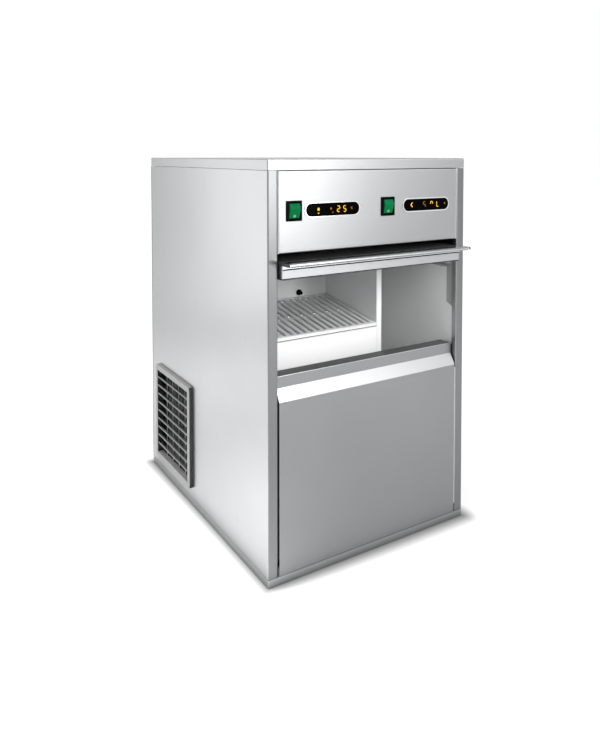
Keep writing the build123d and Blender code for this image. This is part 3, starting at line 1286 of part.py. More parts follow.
def compressor_terminal_cover():
    """Plastic cover over the compressor's terminals and start relay."""
    x = (COMP_X - TERMINAL_W / 2, COMP_X + TERMINAL_W / 2)
    y = (behind(COMP_FRONT - TERMINAL_D), behind(COMP_FRONT))
    cover = block(x, y, (TERMINAL_Z, TERMINAL_Z + TERMINAL_H))
    return fillet(cover.edges().filter_by(Axis.Y), GEARBOX_ROUND / 2)


def condenser():
    """Finned block between two tube sheets, with return bends on both sides."""
    y = (behind(COND_DEPTHS[0]), behind(COND_DEPTHS[1]))
    middle = (COND_X[0] + COND_X[1]) / 2
    fins = block((middle - FIN_CORE / 2, middle + FIN_CORE / 2), (y[0] + FIT, y[1] - FIT), COND_Z)
    pitch = (y[1] - y[0] - 2 * FIT - FIN_T) / (COND_FINS - 1)
    for count in range(COND_FINS):
        fin_y = y[0] + FIT + pitch * count
        fins += block(COND_X, (fin_y, fin_y + FIN_T), COND_Z)
    sheet_z = (PAN_GAUGE, COND_Z[1] + TUBE_SHEET_RAISE)
    sheet_x = (COND_X[0], shroud_face() - FIT)
    row_pitch = (COND_Z[1] - COND_Z[0]) / COND_TUBE_ROWS
    rows = [COND_Z[0] + row_pitch * (count + 1 / 2) for count in range(COND_TUBE_ROWS)]
    front = block(sheet_x, (y[0] - TUBE_SHEET_T, y[0]), sheet_z)
    rear = block(sheet_x, (y[1], y[1] + TUBE_SHEET_T), sheet_z)
    for count in range(0, COND_TUBE_ROWS, 2):
        front += return_bend(middle, y[0] - TUBE_SHEET_T, rows[count], row_pitch, -1)
    for count in range(1, COND_TUBE_ROWS - 1, 2):
        rear += return_bend(middle, y[1] + TUBE_SHEET_T, rows[count], row_pitch, 1)
    for row in (rows[0], rows[-1]):
        stub_end = condenser_port()
        rear += rod((middle, y[1], row), (middle, stub_end, row), COND_TUBE_R)
    return group(fins, front, rear)


def condenser_port():
    """Y of the open ends of the condenser's two stubs."""
    return behind(COND_DEPTHS[1]) + TUBE_SHEET_T + 2 * COND_TUBE_R


def condenser_rows():
    """Heights of the lowest and the highest tube of the condenser."""
    row_pitch = (COND_Z[1] - COND_Z[0]) / COND_TUBE_ROWS
    return (COND_Z[0] + row_pitch / 2, COND_Z[1] - row_pitch / 2)


def return_bend(x, y, z, rise, side):
    """Half ring of tube that joins one tube row to the next."""
    radius = rise / 2
    inset = y - side * FIT
    path = ThreePointArc((x, inset, z), (x, y + side * radius / 2, z + radius), (x, inset, z + rise))
    section = Plane(origin=path @ 0, z_dir=path % 0) * Circle(COND_TUBE_R)
    return sweep(section, path)


def shroud_face():
    """X of the fan shroud's face towards the condenser."""
    return COND_X[1] + SHROUD_LIP


def fan_middle():
    """Y of the condenser fan's axis."""
    return behind((COND_DEPTHS[0] + COND_DEPTHS[1]) / 2)


def fan_shroud():
    """Sheet shroud behind the condenser with a lipped round mouth."""
    x = (shroud_face(), shroud_face() + SHROUD_T)
    y = (behind(COND_DEPTHS[0]) - TUBE_SHEET_T, behind(COND_DEPTHS[1]) + TUBE_SHEET_T)
    plate = block(x, y, (PAN_GAUGE, COND_Z[1] + TUBE_SHEET_RAISE))
    lip_x = (x[0], x[1] + SHROUD_LIP)
    mouth_r = min(SHROUD_MOUTH_R, (y[1] - y[0]) / 2 - SHROUD_LIP)
    plate += across(fan_middle(), FAN_Z, lip_x, mouth_r + SHROUD_T)
    return plate - across(fan_middle(), FAN_Z, (x[0] - OVERRUN, lip_x[1] + OVERRUN), mouth_r)


def fan_rotor():
    """Axial fan with pitched blades on a hub, and its shaft."""
    start = shroud_face() + SHROUD_T + FAN_GAP
    end = start + FAN_LENGTH
    middle = (start + end) / 2
    y = fan_middle()
    rotor = across(y, FAN_Z, (start, end), FAN_HUB_R)
    rotor = fillet(rotor.faces().sort_by(Axis.X)[0].edges(), FAN_GAP)
    reach = fan_reach()
    for count in range(FAN_BLADES):
        blade = block((-FAN_LENGTH / 2, FAN_LENGTH / 2), (-FAN_BLADE_T / 2, FAN_BLADE_T / 2),
                      (FAN_HUB_R - FAN_GAP, reach))
        blade = fillet(blade.edges().filter_by(Axis.Y).sort_by(Axis.Z)[-2:], FAN_LENGTH / 3)
        blade = Rot(Z=FAN_PITCH) * blade
        rotor += Pos(middle, y, FAN_Z) * Rot(X=360 / FAN_BLADES * count) * blade
    return rotor + across(y, FAN_Z, (end - FAN_GAP, end + FAN_SHAFT_L), FAN_SHAFT_R)


def fan_reach():
    """Radius of the fan's blade tips, inside the shroud's mouth."""
    half = (COND_DEPTHS[1] - COND_DEPTHS[0]) / 2 + TUBE_SHEET_T - SHROUD_LIP
    return min(FAN_R, half - FAN_GAP)


def fan_motor():
    """Motor of the condenser fan, with a bore for the rotor's shaft."""
    start = shroud_face() + SHROUD_T + FAN_GAP + FAN_LENGTH + FAN_GAP
    y = fan_middle()
    motor = across(y, FAN_Z, (start, start + FAN_MOTOR_L), FAN_MOTOR_R)
    motor = fillet(motor.faces().sort_by(Axis.X)[0].edges(), FAN_GAP)
    return motor - across(y, FAN_Z, (start - OVERRUN, start + FAN_SHAFT_L), FAN_SHAFT_R + RUN)


def fan_bracket():
    """Upright strap with a foot that carries the fan motor."""
    start = shroud_face() + SHROUD_T + FAN_GAP + FAN_LENGTH + FAN_GAP + FAN_MOTOR_L + FIT
    y = (fan_middle() - FAN_BRACKET_W / 2, fan_middle() + FAN_BRACKET_W / 2)
    strap = block((start, start + FAN_BRACKET_T), y, (PAN_GAUGE, FAN_Z))
    strap += across(fan_middle(), FAN_Z, (start, start + FAN_BRACKET_T), FAN_BRACKET_W / 2)
    foot = block((start - FAN_BRACKET_FOOT, start), y, (PAN_GAUGE, PAN_GAUGE + FAN_BRACKET_T))
    return strap + foot


def filter_drier():
    """Copper filter drier, drawn in to a neck at each end."""
    low, high = DRIER_Z
    neck = 2 * PIPE_R
    half = Polyline((0, low), (neck / 2 + PIPE_WALL, low), (DRIER_R, low + DRIER_NECK),
                    (DRIER_R, high - DRIER_NECK), (neck / 2 + PIPE_WALL, high), (0, high), close=True)
    body = revolve(Plane.XZ * make_face(half), Axis.Z)
    return Pos(DRIER_X, Y_BACK - DRIER_BEHIND, 0) * body


def refrigerant_pipes():
    """Discharge, liquid, capillary and suction lines between the pieces."""
    cond_x = (COND_X[0] + COND_X[1]) / 2
    port = condenser_port() + FIT
    low_row, high_row = condenser_rows()
    drier_y = Y_BACK - DRIER_BEHIND
    evap_y = behind(EVAP_DEPTH)
    stub = STUB_REACH + FIT
    top = STUB_TOP + FIT
    rear = Y_BACK - DISCHARGE_BEHIND
    out_x, out_depth = stub_place(DISCHARGE_SHARES)
    back_x, back_depth = stub_place(SUCTION_SHARES)
    deck_room = COLD_OUT_Z - STUB_TOP
    discharge_deck, capillary_deck, suction_deck = [STUB_TOP + deck_room * share for share in DECK_SHARES]
    discharge = [
        (out_x, behind(out_depth), top),
        (out_x, behind(out_depth), discharge_deck),
        (out_x, rear, discharge_deck),
        (cond_x, rear, discharge_deck),
        (cond_x, rear, high_row),
        (cond_x, port, high_row),
    ]
    liquid = [
        (cond_x, port, low_row),
        (cond_x, drier_y, low_row),
        (DRIER_X, drier_y, low_row),
        (DRIER_X, drier_y, DRIER_Z[0] - FIT),
    ]
    capillary = [
        (DRIER_X, drier_y, DRIER_Z[1] + FIT),
        (DRIER_X, drier_y, capillary_deck),
        (RISER_X, drier_y, capillary_deck),
        (RISER_X, evap_y, capillary_deck),
        (RISER_X, evap_y, COLD_IN_Z),
        (stub, evap_y, COLD_IN_Z),
    ]
    suction = [
        (stub, evap_y, COLD_OUT_Z),
        (RISER_X, evap_y, COLD_OUT_Z),
        (RISER_X, evap_y, suction_deck),
        (back_x, behind(back_depth), suction_deck),
        (back_x, behind(back_depth), top),
    ]
    lines = [pipe(route, PIPE_R, PIPE_BEND) for route in (discharge, liquid, suction)]
    return group(*lines, pipe(capillary, CAPILLARY_R, PIPE_BEND, CAPILLARY_R / 2))


# Water and mains

def water_inlet_valve():
    """Solenoid valve with its inlet thread through the back panel."""
    wall = Y_BACK - SHEET
    body = block((INLET_X - VALVE_HALF_W, INLET_X + VALVE_HALF_W), (wall - VALVE_D, wall - INLET_COLLAR_T),
                 (INLET_Z - VALVE_HALF_W, INLET_Z + VALVE_HALF_W))
    body = fillet(body.edges().filter_by(Axis.Y), GEARBOX_ROUND / 2)
    body += rod((INLET_X, wall - INLET_COLLAR_T - FIT, INLET_Z), (INLET_X, wall - FIT, INLET_Z), INLET_COLLAR_R)
    thread_start = Y_BACK + SEAM
    body += rod((INLET_X, wall - FIT, INLET_Z), (INLET_X, thread_start, INLET_Z), INLET_R - NECK_STEP)
    body += rod((INLET_X, thread_start, INLET_Z), (INLET_X, Y_BACK + INLET_REACH, INLET_Z), INLET_R)
    coil_y = wall - VALVE_D / 2 - INLET_COLLAR_T
    coil_z = INLET_Z + VALVE_HALF_W - OVERRUN
    body += rod((INLET_X, coil_y, coil_z), (INLET_X, coil_y, coil_z + COIL_H), COIL_R)
    bore_end = Y_BACK + INLET_REACH + OVERRUN
    return body - rod((INLET_X, wall, INLET_Z), (INLET_X, bore_end, INLET_Z), INLET_R - 3 * PIPE_WALL)


def water_pipes():
    """Supply line to the float valve, and feed line from the tank to the barrel."""
    supply_start = Y_BACK - SHEET - VALVE_D - FIT
    supply_end = behind(FOAM_BACK + FLOAT_NUT_T) + 2 * FIT + FLOAT_NUT_T
    supply = [
        (INLET_X, supply_start, INLET_Z),
        (INLET_X, Y_BACK - SUPPLY_BENDS_BEHIND[0], INLET_Z),
        (INLET_X, Y_BACK - SUPPLY_BENDS_BEHIND[1], FLOAT_Z),
        (INLET_X, supply_end, FLOAT_Z),
    ]
    barrel_end = behind(EVAP_DEPTH - STUB_REACH) - FIT
    low_y = barrel_end - FEED_RUN
    low_z = WATER_STUB_Z
    feed = [
        (FEED_X, behind(BIN_BACK) - FIT - TANK_T, FEED_Z),
        (FEED_X, low_y, FEED_Z),
        (FEED_X, low_y, low_z),
        (0, low_y, low_z),
        (0, barrel_end, low_z),
    ]
    return group(pipe(supply, HOSE_R, PIPE_BEND), pipe(feed, FEED_R, FEED_BEND))


def float_valve():
    """Float valve through the tank's rear wall, with a fork for the arm's pin."""
    rear = behind(FOAM_BACK)
    front = behind(FLOAT_BODY_FRONT)
    body = rod((INLET_X, front, FLOAT_Z), (INLET_X, rear + FLOAT_NUT_T, FLOAT_Z), FLOAT_BODY_R)
    body += rod((INLET_X, rear + FIT, FLOAT_Z), (INLET_X, rear + FIT + FLOAT_NUT_T, FLOAT_Z), FLOAT_NUT_R)
    hose_end = rear + FIT + 2 * FLOAT_NUT_T
    body += rod((INLET_X, rear, FLOAT_Z), (INLET_X, hose_end, FLOAT_Z), HOSE_R)
    collar_y = behind(BIN_BACK) - TANK_T - 2 * FIT
    body += rod((INLET_X, collar_y - FLOAT_NUT_T, FLOAT_Z), (INLET_X, collar_y, FLOAT_Z), FLOAT_NUT_R - FORK_T)
    gap = ARM_T / 2 + FIT
    for side in (-1, 1):
        edge = sorted((INLET_X + side * gap, INLET_X + side * (gap + FORK_T)))
        cheek = block(edge, (front - FORK_REACH, front + FIT), (FLOAT_Z - FORK_H / 2, FLOAT_Z + FORK_H / 2))
        body += cheek
    axle_y = front - FORK_REACH / 2
    span = gap + FORK_T + OVERRUN
    return body - across(axle_y, FLOAT_Z, (INLET_X - span, INLET_X + span), FLOAT_PIN_R + RUN)


def float_arm():
    """Arm with its pivot pin and the hollow float at its end."""
    axle_y = behind(FLOAT_BODY_FRONT) - FORK_REACH / 2
    x = (INLET_X - ARM_T / 2, INLET_X + ARM_T / 2)
    end_y = axle_y - ARM_REACH
    float_z = FLOAT_Z - ARM_DROP
    half = ARM_H / 2
    outline = [
        (axle_y + half, FLOAT_Z + half),
        (axle_y + half, FLOAT_Z - half),
        (axle_y - FORK_REACH, FLOAT_Z - half),
        (end_y, float_z - half),
        (end_y, float_z + half),
        (axle_y - FORK_REACH, FLOAT_Z + half),
    ]
    arm = prism_x(outline, x)
    pin_half = ARM_T / 2 + FIT + FORK_T
    arm += across(axle_y, FLOAT_Z, (INLET_X - pin_half, INLET_X + pin_half), FLOAT_PIN_R)
    floater = across(end_y, float_z, (INLET_X - FLOAT_LENGTH / 2, INLET_X + FLOAT_LENGTH / 2), FLOAT_R)
    return arm + fillet(floater.edges().filter_by(GeomType.CIRCLE), FLOAT_R / 4)


def drain_pipe():
    """Bin drain: flanged outlet, pipe along the base and spigot through the back panel."""
    y = behind(DRAIN_DEPTH)
    top = BIN_FLOOR - LINER_T - FIT
    line = pipe([(DRAIN_X, y, BIN_FLOOR), (DRAIN_X, y, DRAIN_Z), (DRAIN_X, Y_BACK + SPIGOT_REACH, DRAIN_Z)],
                DRAIN_R, DRAIN_BEND)
    flange = upright(DRAIN_X, DRAIN_DEPTH, (top - DRAIN_FLANGE_T, top), DRAIN_FLANGE_R)
    collar_start = Y_BACK - SHEET - SPIGOT_REACH / 2
    spigot_start = Y_BACK + SEAM
    spigot = rod((DRAIN_X, collar_start, DRAIN_Z), (DRAIN_X, spigot_start, DRAIN_Z), SPIGOT_R - NECK_STEP)
    spigot += rod((DRAIN_X, spigot_start, DRAIN_Z), (DRAIN_X, Y_BACK + SPIGOT_REACH, DRAIN_Z), SPIGOT_R)
    bore = upright(DRAIN_X, DRAIN_DEPTH, (top - DRAIN_FLANGE_T - OVERRUN, top + OVERRUN), DRAIN_R - PIPE_WALL)
    spigot_end = Y_BACK + SPIGOT_REACH + OVERRUN
    hole = rod((DRAIN_X, collar_start - OVERRUN, DRAIN_Z), (DRAIN_X, spigot_end, DRAIN_Z), DRAIN_R - PIPE_WALL)
    return line + (flange - bore) + (spigot - hole)


def power_inlet():
    """Mains inlet socket with three prongs, for a detachable lead."""
    middle = Pos(SOCKET_X, SOCKET_Z)
    flange = RectangleRounded(*SOCKET_FLANGE, SOCKET_CHAMFER)
    socket = prism_y(middle * flange, (Y_BACK, Y_BACK + SOCKET_FLANGE_T))
    socket += prism_y(middle * Rectangle(*SOCKET_BODY), (Y_BACK - SOCKET_DEPTH, Y_BACK))
    well = Rectangle(*SOCKET_WELL)
    well = chamfer(well.vertices().sort_by(Axis.Y)[-2:], SOCKET_CHAMFER)
    open_y = Y_BACK + SOCKET_FLANGE_T
    socket -= prism_y(middle * well, (open_y - SOCKET_WELL_D, open_y + OVERRUN))
    prong_y = (open_y - SOCKET_WELL_D - OVERRUN / 2, open_y - SOCKET_WELL_D + PRONG[2])
    for place in (-1, 0, 1):
        lift = PRONG[0] if place == 0 else 0
        face = Pos(SOCKET_X + place * PRONG_PITCH, SOCKET_Z + lift) * Rectangle(PRONG[0], PRONG[1])
        socket += prism_y(face, prong_y)
    return socket


NODES = {
    "base_pan": base_pan,
    "left_side_panel": left_side_panel,
    "right_side_panel": lambda: mirrored(side_panel()),
    "back_panel": back_panel,
    "top_cover": top_cover,
    "fascia_panel": fascia_panel,
    "lower_front_panel": lower_front_panel,
    "sill_strip": sill_strip,
    "side_vent_grille": side_vent_grille,
    "panel_screws": panel_screws,
    "bin_liner": bin_liner,
    "bin_insulation": bin_insulation,
    "bin_supports": bin_supports,
    "divider": divider,
    "water_tank": water_tank,
    "ice_grate": ice_grate,
    "ice_level_sensor": ice_level_sensor,
    "door_skin": door_skin,
    "door_liner": door_liner,
    "door_insulation": door_insulation,
    "door_handle": door_handle,
    "door_handle_caps": door_handle_caps,
    "door_hinge_pins": door_hinge_pins,
    "door_rollers": door_rollers,
    "door_guide_rails": door_guide_rails,
    "switch_housings": switch_housings,
    "left_rocker": lambda: rocker(SWITCH_XS[0]),
    "right_rocker": lambda: rocker(SWITCH_XS[1]),
    "display_bezels": display_bezels,
    "display_lenses": display_lenses,
    "display_boards": display_boards,
    "control_box": control_box,
    "control_board": control_board,
    "evaporator_barrel": evaporator_barrel,
    "barrel_insulation": barrel_insulation,
    "ice_head": ice_head,
    "auger": auger,
    "auger_bearings": auger_bearings,
    "drum_housing": drum_housing,
    "output_coupling": output_coupling,
    "drive_gearbox": drive_gearbox,
    "drive_motor": drive_motor,
    "ice_chute": ice_chute,
    "compressor": compressor,
    "compressor_grommets": compressor_grommets,
    "compressor_terminal_cover": compressor_terminal_cover,
    "condenser": condenser,
    "fan_shroud": fan_shroud,
    "fan_rotor": fan_rotor,
    "fan_motor": fan_motor,
    "fan_bracket": fan_bracket,
    "filter_drier": filter_drier,
    "refrigerant_pipes": refrigerant_pipes,
    "water_inlet_valve": water_inlet_valve,
    "water_pipes": water_pipes,
    "float_valve": float_valve,
    "float_arm": float_arm,
    "drain_pipe": drain_pipe,
    "power_inlet": power_inlet,
}

os.makedirs("parts", exist_ok=True)
for name, make in NODES.items():
    export_step(make(), f"parts/{name}.step")
print(f"{len(NODES)} nodes written")
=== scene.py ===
import json
import logging
import math
from dataclasses import dataclass
from enum import Enum
from typing import Iterable

import bmesh
import bpy
from mathutils import Matrix, Vector


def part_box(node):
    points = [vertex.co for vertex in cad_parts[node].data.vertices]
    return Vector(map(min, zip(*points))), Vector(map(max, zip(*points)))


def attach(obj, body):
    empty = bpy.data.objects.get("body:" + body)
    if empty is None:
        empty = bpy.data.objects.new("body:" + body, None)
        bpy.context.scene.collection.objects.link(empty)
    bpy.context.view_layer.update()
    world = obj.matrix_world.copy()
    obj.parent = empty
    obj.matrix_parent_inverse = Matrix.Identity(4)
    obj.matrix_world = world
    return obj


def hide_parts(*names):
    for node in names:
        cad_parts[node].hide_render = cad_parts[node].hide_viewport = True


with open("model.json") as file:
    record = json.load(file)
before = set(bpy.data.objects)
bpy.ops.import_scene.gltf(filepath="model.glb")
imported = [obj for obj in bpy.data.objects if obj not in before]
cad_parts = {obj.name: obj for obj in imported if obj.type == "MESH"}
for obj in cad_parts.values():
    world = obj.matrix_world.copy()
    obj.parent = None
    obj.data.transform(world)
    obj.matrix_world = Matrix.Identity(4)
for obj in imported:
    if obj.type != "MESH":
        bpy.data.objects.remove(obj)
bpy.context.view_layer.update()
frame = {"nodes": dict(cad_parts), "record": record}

LOG = logging.getLogger("flake_ice_maker")

Colour = tuple[float, float, float]
Point = tuple[float, float, float]
Levels = tuple[tuple[float, float], ...]

WELD = 1e-7
SHARP_ANGLE = math.radians(35.0)
SMOOTHEST = 0.02


class Grain(Enum):
    """Way the polishing lines of a metal run; the value is the stretch of the pattern."""

    ALONG_X = (1.0, 90.0, 90.0)
    ALONG_Y = (90.0, 1.0, 90.0)
    ALONG_Z = (90.0, 90.0, 1.0)
    ROUND_Z = (60.0, 60.0, 60.0)


class Seen(Enum):
    """Kinds of rays that see the plain background; the value is the Light Path output."""

    CAMERA = "Is Camera Ray"
    GLOSSY = "Is Glossy Ray"
    TRANSMISSION = "Is Transmission Ray"


class Test(Enum):
    """What a zone of a finish is told by: where a point lies, or which way its face looks."""

    PLACE = "Beyond"
    FACING = "Facing"


class Effect:
    """A shader node group with named sockets that several finishes share."""

    @staticmethod
    def start(name: str, inputs: dict[str, float], outputs: dict[str, str]) -> bpy.types.NodeTree:
        """Makes an empty group with its sockets.

        Args:
            name: Name of the group.
            inputs: Default value of each float input.
            outputs: Socket type of each output.

        Returns:
            The group's node tree, with its Group Input and Group Output placed.
        """
        tree = bpy.data.node_groups.new(name, "ShaderNodeTree")
        for label, value in inputs.items():
            socket = tree.interface.new_socket(name=label, in_out="INPUT", socket_type="NodeSocketFloat")
            socket.default_value = value
        for label, kind in outputs.items():
            tree.interface.new_socket(name=label, in_out="OUTPUT", socket_type=kind)
        tree.nodes.new("NodeGroupInput").name = "in"
        tree.nodes.new("NodeGroupOutput").name = "out"
        return tree

    @staticmethod
    def brushed() -> bpy.types.NodeTree:
        """Fine polishing lines, with slow changes of tone between them.

        Returns:
            The group, with Lines X, Lines Y and Lines Z as the stretch of the pattern.
        """
        found = bpy.data.node_groups.get("brushed_lines")
        if found:
            return found
        inputs = {"Lines X": 90.0, "Lines Y": 90.0, "Lines Z": 1.0, "Depth": 0.02}
        outputs = {"Line": "NodeSocketFloat", "Tone": "NodeSocketFloat", "Normal": "NodeSocketVector"}
        tree = Effect.start("brushed_lines", inputs, outputs)
        nodes, links = tree.nodes, tree.links
        place = nodes.new("ShaderNodeTexCoord")
        stretch = nodes.new("ShaderNodeCombineXYZ")
        scaled = nodes.new("ShaderNodeMapping")
        fine = nodes.new("ShaderNodeTexNoise")
        slow = nodes.new("ShaderNodeTexNoise")
        bump = nodes.new("ShaderNodeBump")
        fine.inputs["Scale"].default_value = 9.0
        fine.inputs["Detail"].default_value = 4.0
        slow.inputs["Scale"].default_value = 5.0
        slow.inputs["Detail"].default_value = 2.0
        bump.inputs["Distance"].default_value = 0.0004
        for axis in "XYZ":
            links.new(nodes["in"].outputs[f"Lines {axis}"], stretch.inputs[axis])
        links.new(place.outputs["Object"], scaled.inputs["Vector"])
        links.new(stretch.outputs["Vector"], scaled.inputs["Scale"])
        links.new(scaled.outputs["Vector"], fine.inputs["Vector"])
        links.new(place.outputs["Object"], slow.inputs["Vector"])
        links.new(fine.outputs["Fac"], bump.inputs["Height"])
        links.new(nodes["in"].outputs["Depth"], bump.inputs["Strength"])
        links.new(fine.outputs["Fac"], nodes["out"].inputs["Line"])
        links.new(slow.outputs["Fac"], nodes["out"].inputs["Tone"])
        links.new(bump.outputs["Normal"], nodes["out"].inputs["Normal"])
        return tree

    @staticmethod
    def moulded() -> bpy.types.NodeTree:
        """Fine skin of a moulded plastic, with slow changes of tone.

        Returns:
            The group, with the skin's Scale and Depth.
        """
        found = bpy.data.node_groups.get("moulded_skin")
        if found:
            return found
        outputs = {"Skin": "NodeSocketFloat", "Tone": "NodeSocketFloat", "Normal": "NodeSocketVector"}
        tree = Effect.start("moulded_skin", {"Scale": 900.0, "Depth": 0.05}, outputs)
        nodes, links = tree.nodes, tree.links
        place = nodes.new("ShaderNodeTexCoord")
        skin = nodes.new("ShaderNodeTexNoise")
        slow = nodes.new("ShaderNodeTexNoise")
        bump = nodes.new("ShaderNodeBump")
        skin.inputs["Detail"].default_value = 3.0
        slow.inputs["Scale"].default_value = 7.0
        bump.inputs["Distance"].default_value = 0.0002
        links.new(place.outputs["Object"], skin.inputs["Vector"])
        links.new(place.outputs["Object"], slow.inputs["Vector"])
        links.new(nodes["in"].outputs["Scale"], skin.inputs["Scale"])
        links.new(nodes["in"].outputs["Depth"], bump.inputs["Strength"])
        links.new(skin.outputs["Fac"], bump.inputs["Height"])
        links.new(skin.outputs["Fac"], nodes["out"].inputs["Skin"])
        links.new(slow.outputs["Fac"], nodes["out"].inputs["Tone"])
        links.new(bump.outputs["Normal"], nodes["out"].inputs["Normal"])
        return tree

    @staticmethod
    def zones() -> bpy.types.NodeTree:
        """Masks of the points past a plane, and of the faces that look along its normal.

        Returns:
            The group, with Along X, Along Y and Along Z as the plane's normal.
        """
        found = bpy.data.node_groups.get("zones")
        if found:
            return found
        inputs = {"Along X": 0.0, "Along Y": 0.0, "Along Z": 1.0, "Limit": 0.7}
        outputs = {kind.value: "NodeSocketFloat" for kind in Test}
        tree = Effect.start("zones", inputs, outputs)
        nodes, links = tree.nodes, tree.links
        place = nodes.new("ShaderNodeTexCoord")
        along = nodes.new("ShaderNodeCombineXYZ")
        for axis in "XYZ":
            links.new(nodes["in"].outputs[f"Along {axis}"], along.inputs[axis])
        for kind, source in ((Test.PLACE, "Object"), (Test.FACING, "Normal")):
            reach = nodes.new("ShaderNodeVectorMath")
            reach.operation = "DOT_PRODUCT"
            past = nodes.new("ShaderNodeMath")
            past.operation = "GREATER_THAN"
            links.new(place.outputs[source], reach.inputs[0])
            links.new(along.outputs["Vector"], reach.inputs[1])
            links.new(reach.outputs["Value"], past.inputs[0])
            links.new(nodes["in"].outputs["Limit"], past.inputs[1])
            links.new(past.outputs[0], nodes["out"].inputs[kind.value])
        return tree


@dataclass(frozen=True)
class Zone:
    """Part of a finish that has a shade of its own.

    Attributes:
        test: What tells the zone.
        along: Unit vector that the places are measured along, or that the faces look along.
        limit: Least distance along it from the origin, or least cosine of the angle to it.
        colour: Shade of the zone.
    """

    test: Test
    along: Point
    limit: float
    colour: Colour


def shades(colour: Colour, spread: float) -> tuple[tuple[float, ...], tuple[float, ...]]:
    """Darker and lighter neighbour of a colour.

    Args:
        colour: Linear colour.
        spread: Share by which the two differ from it.

    Returns:
        The darker and the lighter colour, with alpha.
    """
    dark = tuple(c * (1.0 - spread) for c in colour) + (1.0,)
    light = tuple(min(1.0, c * (1.0 + spread)) for c in colour) + (1.0,)
    return dark, light


def ramped(material: bpy.types.Material, value: bpy.types.NodeSocket, colour: Colour,
           spread: float) -> bpy.types.NodeSocket:
    """Colour between two neighbouring shades by a pattern.

    Args:
        material: Material to add to.
        value: Output socket of the pattern.
        colour: Middle colour.
        spread: Share by which the shades differ from it.

    Returns:
        Output socket with the colour.
    """
    ramp = material.node_tree.nodes.new("ShaderNodeValToRGB")
    ramp.color_ramp.elements[0].position = 0.3
    ramp.color_ramp.elements[1].position = 0.7
    ramp.color_ramp.elements[0].color, ramp.color_ramp.elements[1].color = shades(colour, spread)
    material.node_tree.links.new(value, ramp.inputs["Fac"])
    return ramp.outputs["Color"]


def toned(material: bpy.types.Material, value: bpy.types.NodeSocket, colour: Colour, spread: float,
          zones: tuple[Zone, ...] = ()) -> None:
    """Colours a material by a pattern, with other shades in its zones.

    Args:
        material: Material whose Principled BSDF gets the colour.
        value: Output socket of the pattern.
        colour: Middle colour.
        spread: Share by which the shades differ from it.
        zones: Zones with shades of their own, the last on top.
    """
    tree = material.node_tree
    shade = ramped(material, value, colour, spread)
    for zone in zones:
        mask = tree.nodes.new("ShaderNodeGroup")
        mask.node_tree = Effect.zones()
        for axis, part in zip("XYZ", zone.along):
            mask.inputs[f"Along {axis}"].default_value = part
        mask.inputs["Limit"].default_value = zone.limit
        mix = tree.nodes.new("ShaderNodeMix")
        mix.data_type = "RGBA"
        tree.links.new(mask.outputs[zone.test.value], mix.inputs["Factor"])
        tree.links.new(shade, mix.inputs["A"])
        tree.links.new(ramped(material, value, zone.colour, spread), mix.inputs["B"])
        shade = mix.outputs["Result"]
    tree.links.new(shade, principled(material).inputs["Base Color"])


def varied(material: bpy.types.Material, value: bpy.types.NodeSocket, middle: float, spread: float) -> None:
    """Varies a material's roughness by a pattern.

    Args:
        material: Material whose Principled BSDF gets the roughness.
        value: Output socket of the pattern.
        middle: Middle roughness.
        spread: How far it goes each way.
    """
    span = material.node_tree.nodes.new("ShaderNodeMapRange")
    span.inputs["From Min"].default_value = 0.25
    span.inputs["From Max"].default_value = 0.75
    span.inputs["To Min"].default_value = max(SMOOTHEST, middle - spread)
    span.inputs["To Max"].default_value = middle + spread
    material.node_tree.links.new(value, span.inputs["Value"])
    material.node_tree.links.new(span.outputs["Result"], principled(material).inputs["Roughness"])


def principled(material: bpy.types.Material) -> bpy.types.Node:
    """The material's Principled BSDF."""
    return material.node_tree.nodes["Principled BSDF"]


def blank(name: str) -> bpy.types.Material:
    """A new material with nodes."""
    material = bpy.data.materials.new(name)
    material.use_nodes = True
    return material


@dataclass(frozen=True)
class Metal:
    """Polished, brushed or cast metal."""

    name: str
    colour: Colour
    roughness: float = 0.32
    grain: Grain = Grain.ALONG_Z
    spread: float = 0.03
    rough_spread: float = 0.03
    depth: float = 0.02
    zones: tuple[Zone, ...] = ()

    def material(self) -> bpy.types.Material:
        """The finish as a material, made once."""
        found = bpy.data.materials.get(self.name)
        if found:
            return found
        material = blank(self.name)
        lines = material.node_tree.nodes.new("ShaderNodeGroup")
        lines.node_tree = Effect.brushed()
        for axis, stretch in zip("XYZ", self.grain.value):
            lines.inputs[f"Lines {axis}"].default_value = stretch
        lines.inputs["Depth"].default_value = self.depth
        toned(material, lines.outputs["Tone"], self.colour, self.spread, self.zones)
        varied(material, lines.outputs["Line"], self.roughness, self.rough_spread)
        principled(material).inputs["Metallic"].default_value = 1.0
        material.node_tree.links.new(lines.outputs["Normal"], principled(material).inputs["Normal"])
        return material


@dataclass(frozen=True)
class Moulded:
    """Moulded plastic, rubber, foam or paint."""

    name: str
    colour: Colour
    roughness: float = 0.4
    spread: float = 0.02
    skin: float = 900.0
    depth: float = 0.05
    coat: float = 0.0
    specular: float = 0.5
    zones: tuple[Zone, ...] = ()
    rough_spread: float = 0.04

    def material(self) -> bpy.types.Material:
        """The finish as a material, made once."""
        found = bpy.data.materials.get(self.name)
        if found:
            return found
        material = blank(self.name)
        skin = material.node_tree.nodes.new("ShaderNodeGroup")
        skin.node_tree = Effect.moulded()
        skin.inputs["Scale"].default_value = self.skin
        skin.inputs["Depth"].default_value = self.depth
        toned(material, skin.outputs["Tone"], self.colour, self.spread, self.zones)
        varied(material, skin.outputs["Skin"], self.roughness, self.rough_spread)
        shader = principled(material)
        shader.inputs["Coat Weight"].default_value = self.coat
        shader.inputs["Coat Roughness"].default_value = 0.06
        shader.inputs["Specular IOR Level"].default_value = self.specular
        material.node_tree.links.new(skin.outputs["Normal"], shader.inputs["Normal"])
        return material


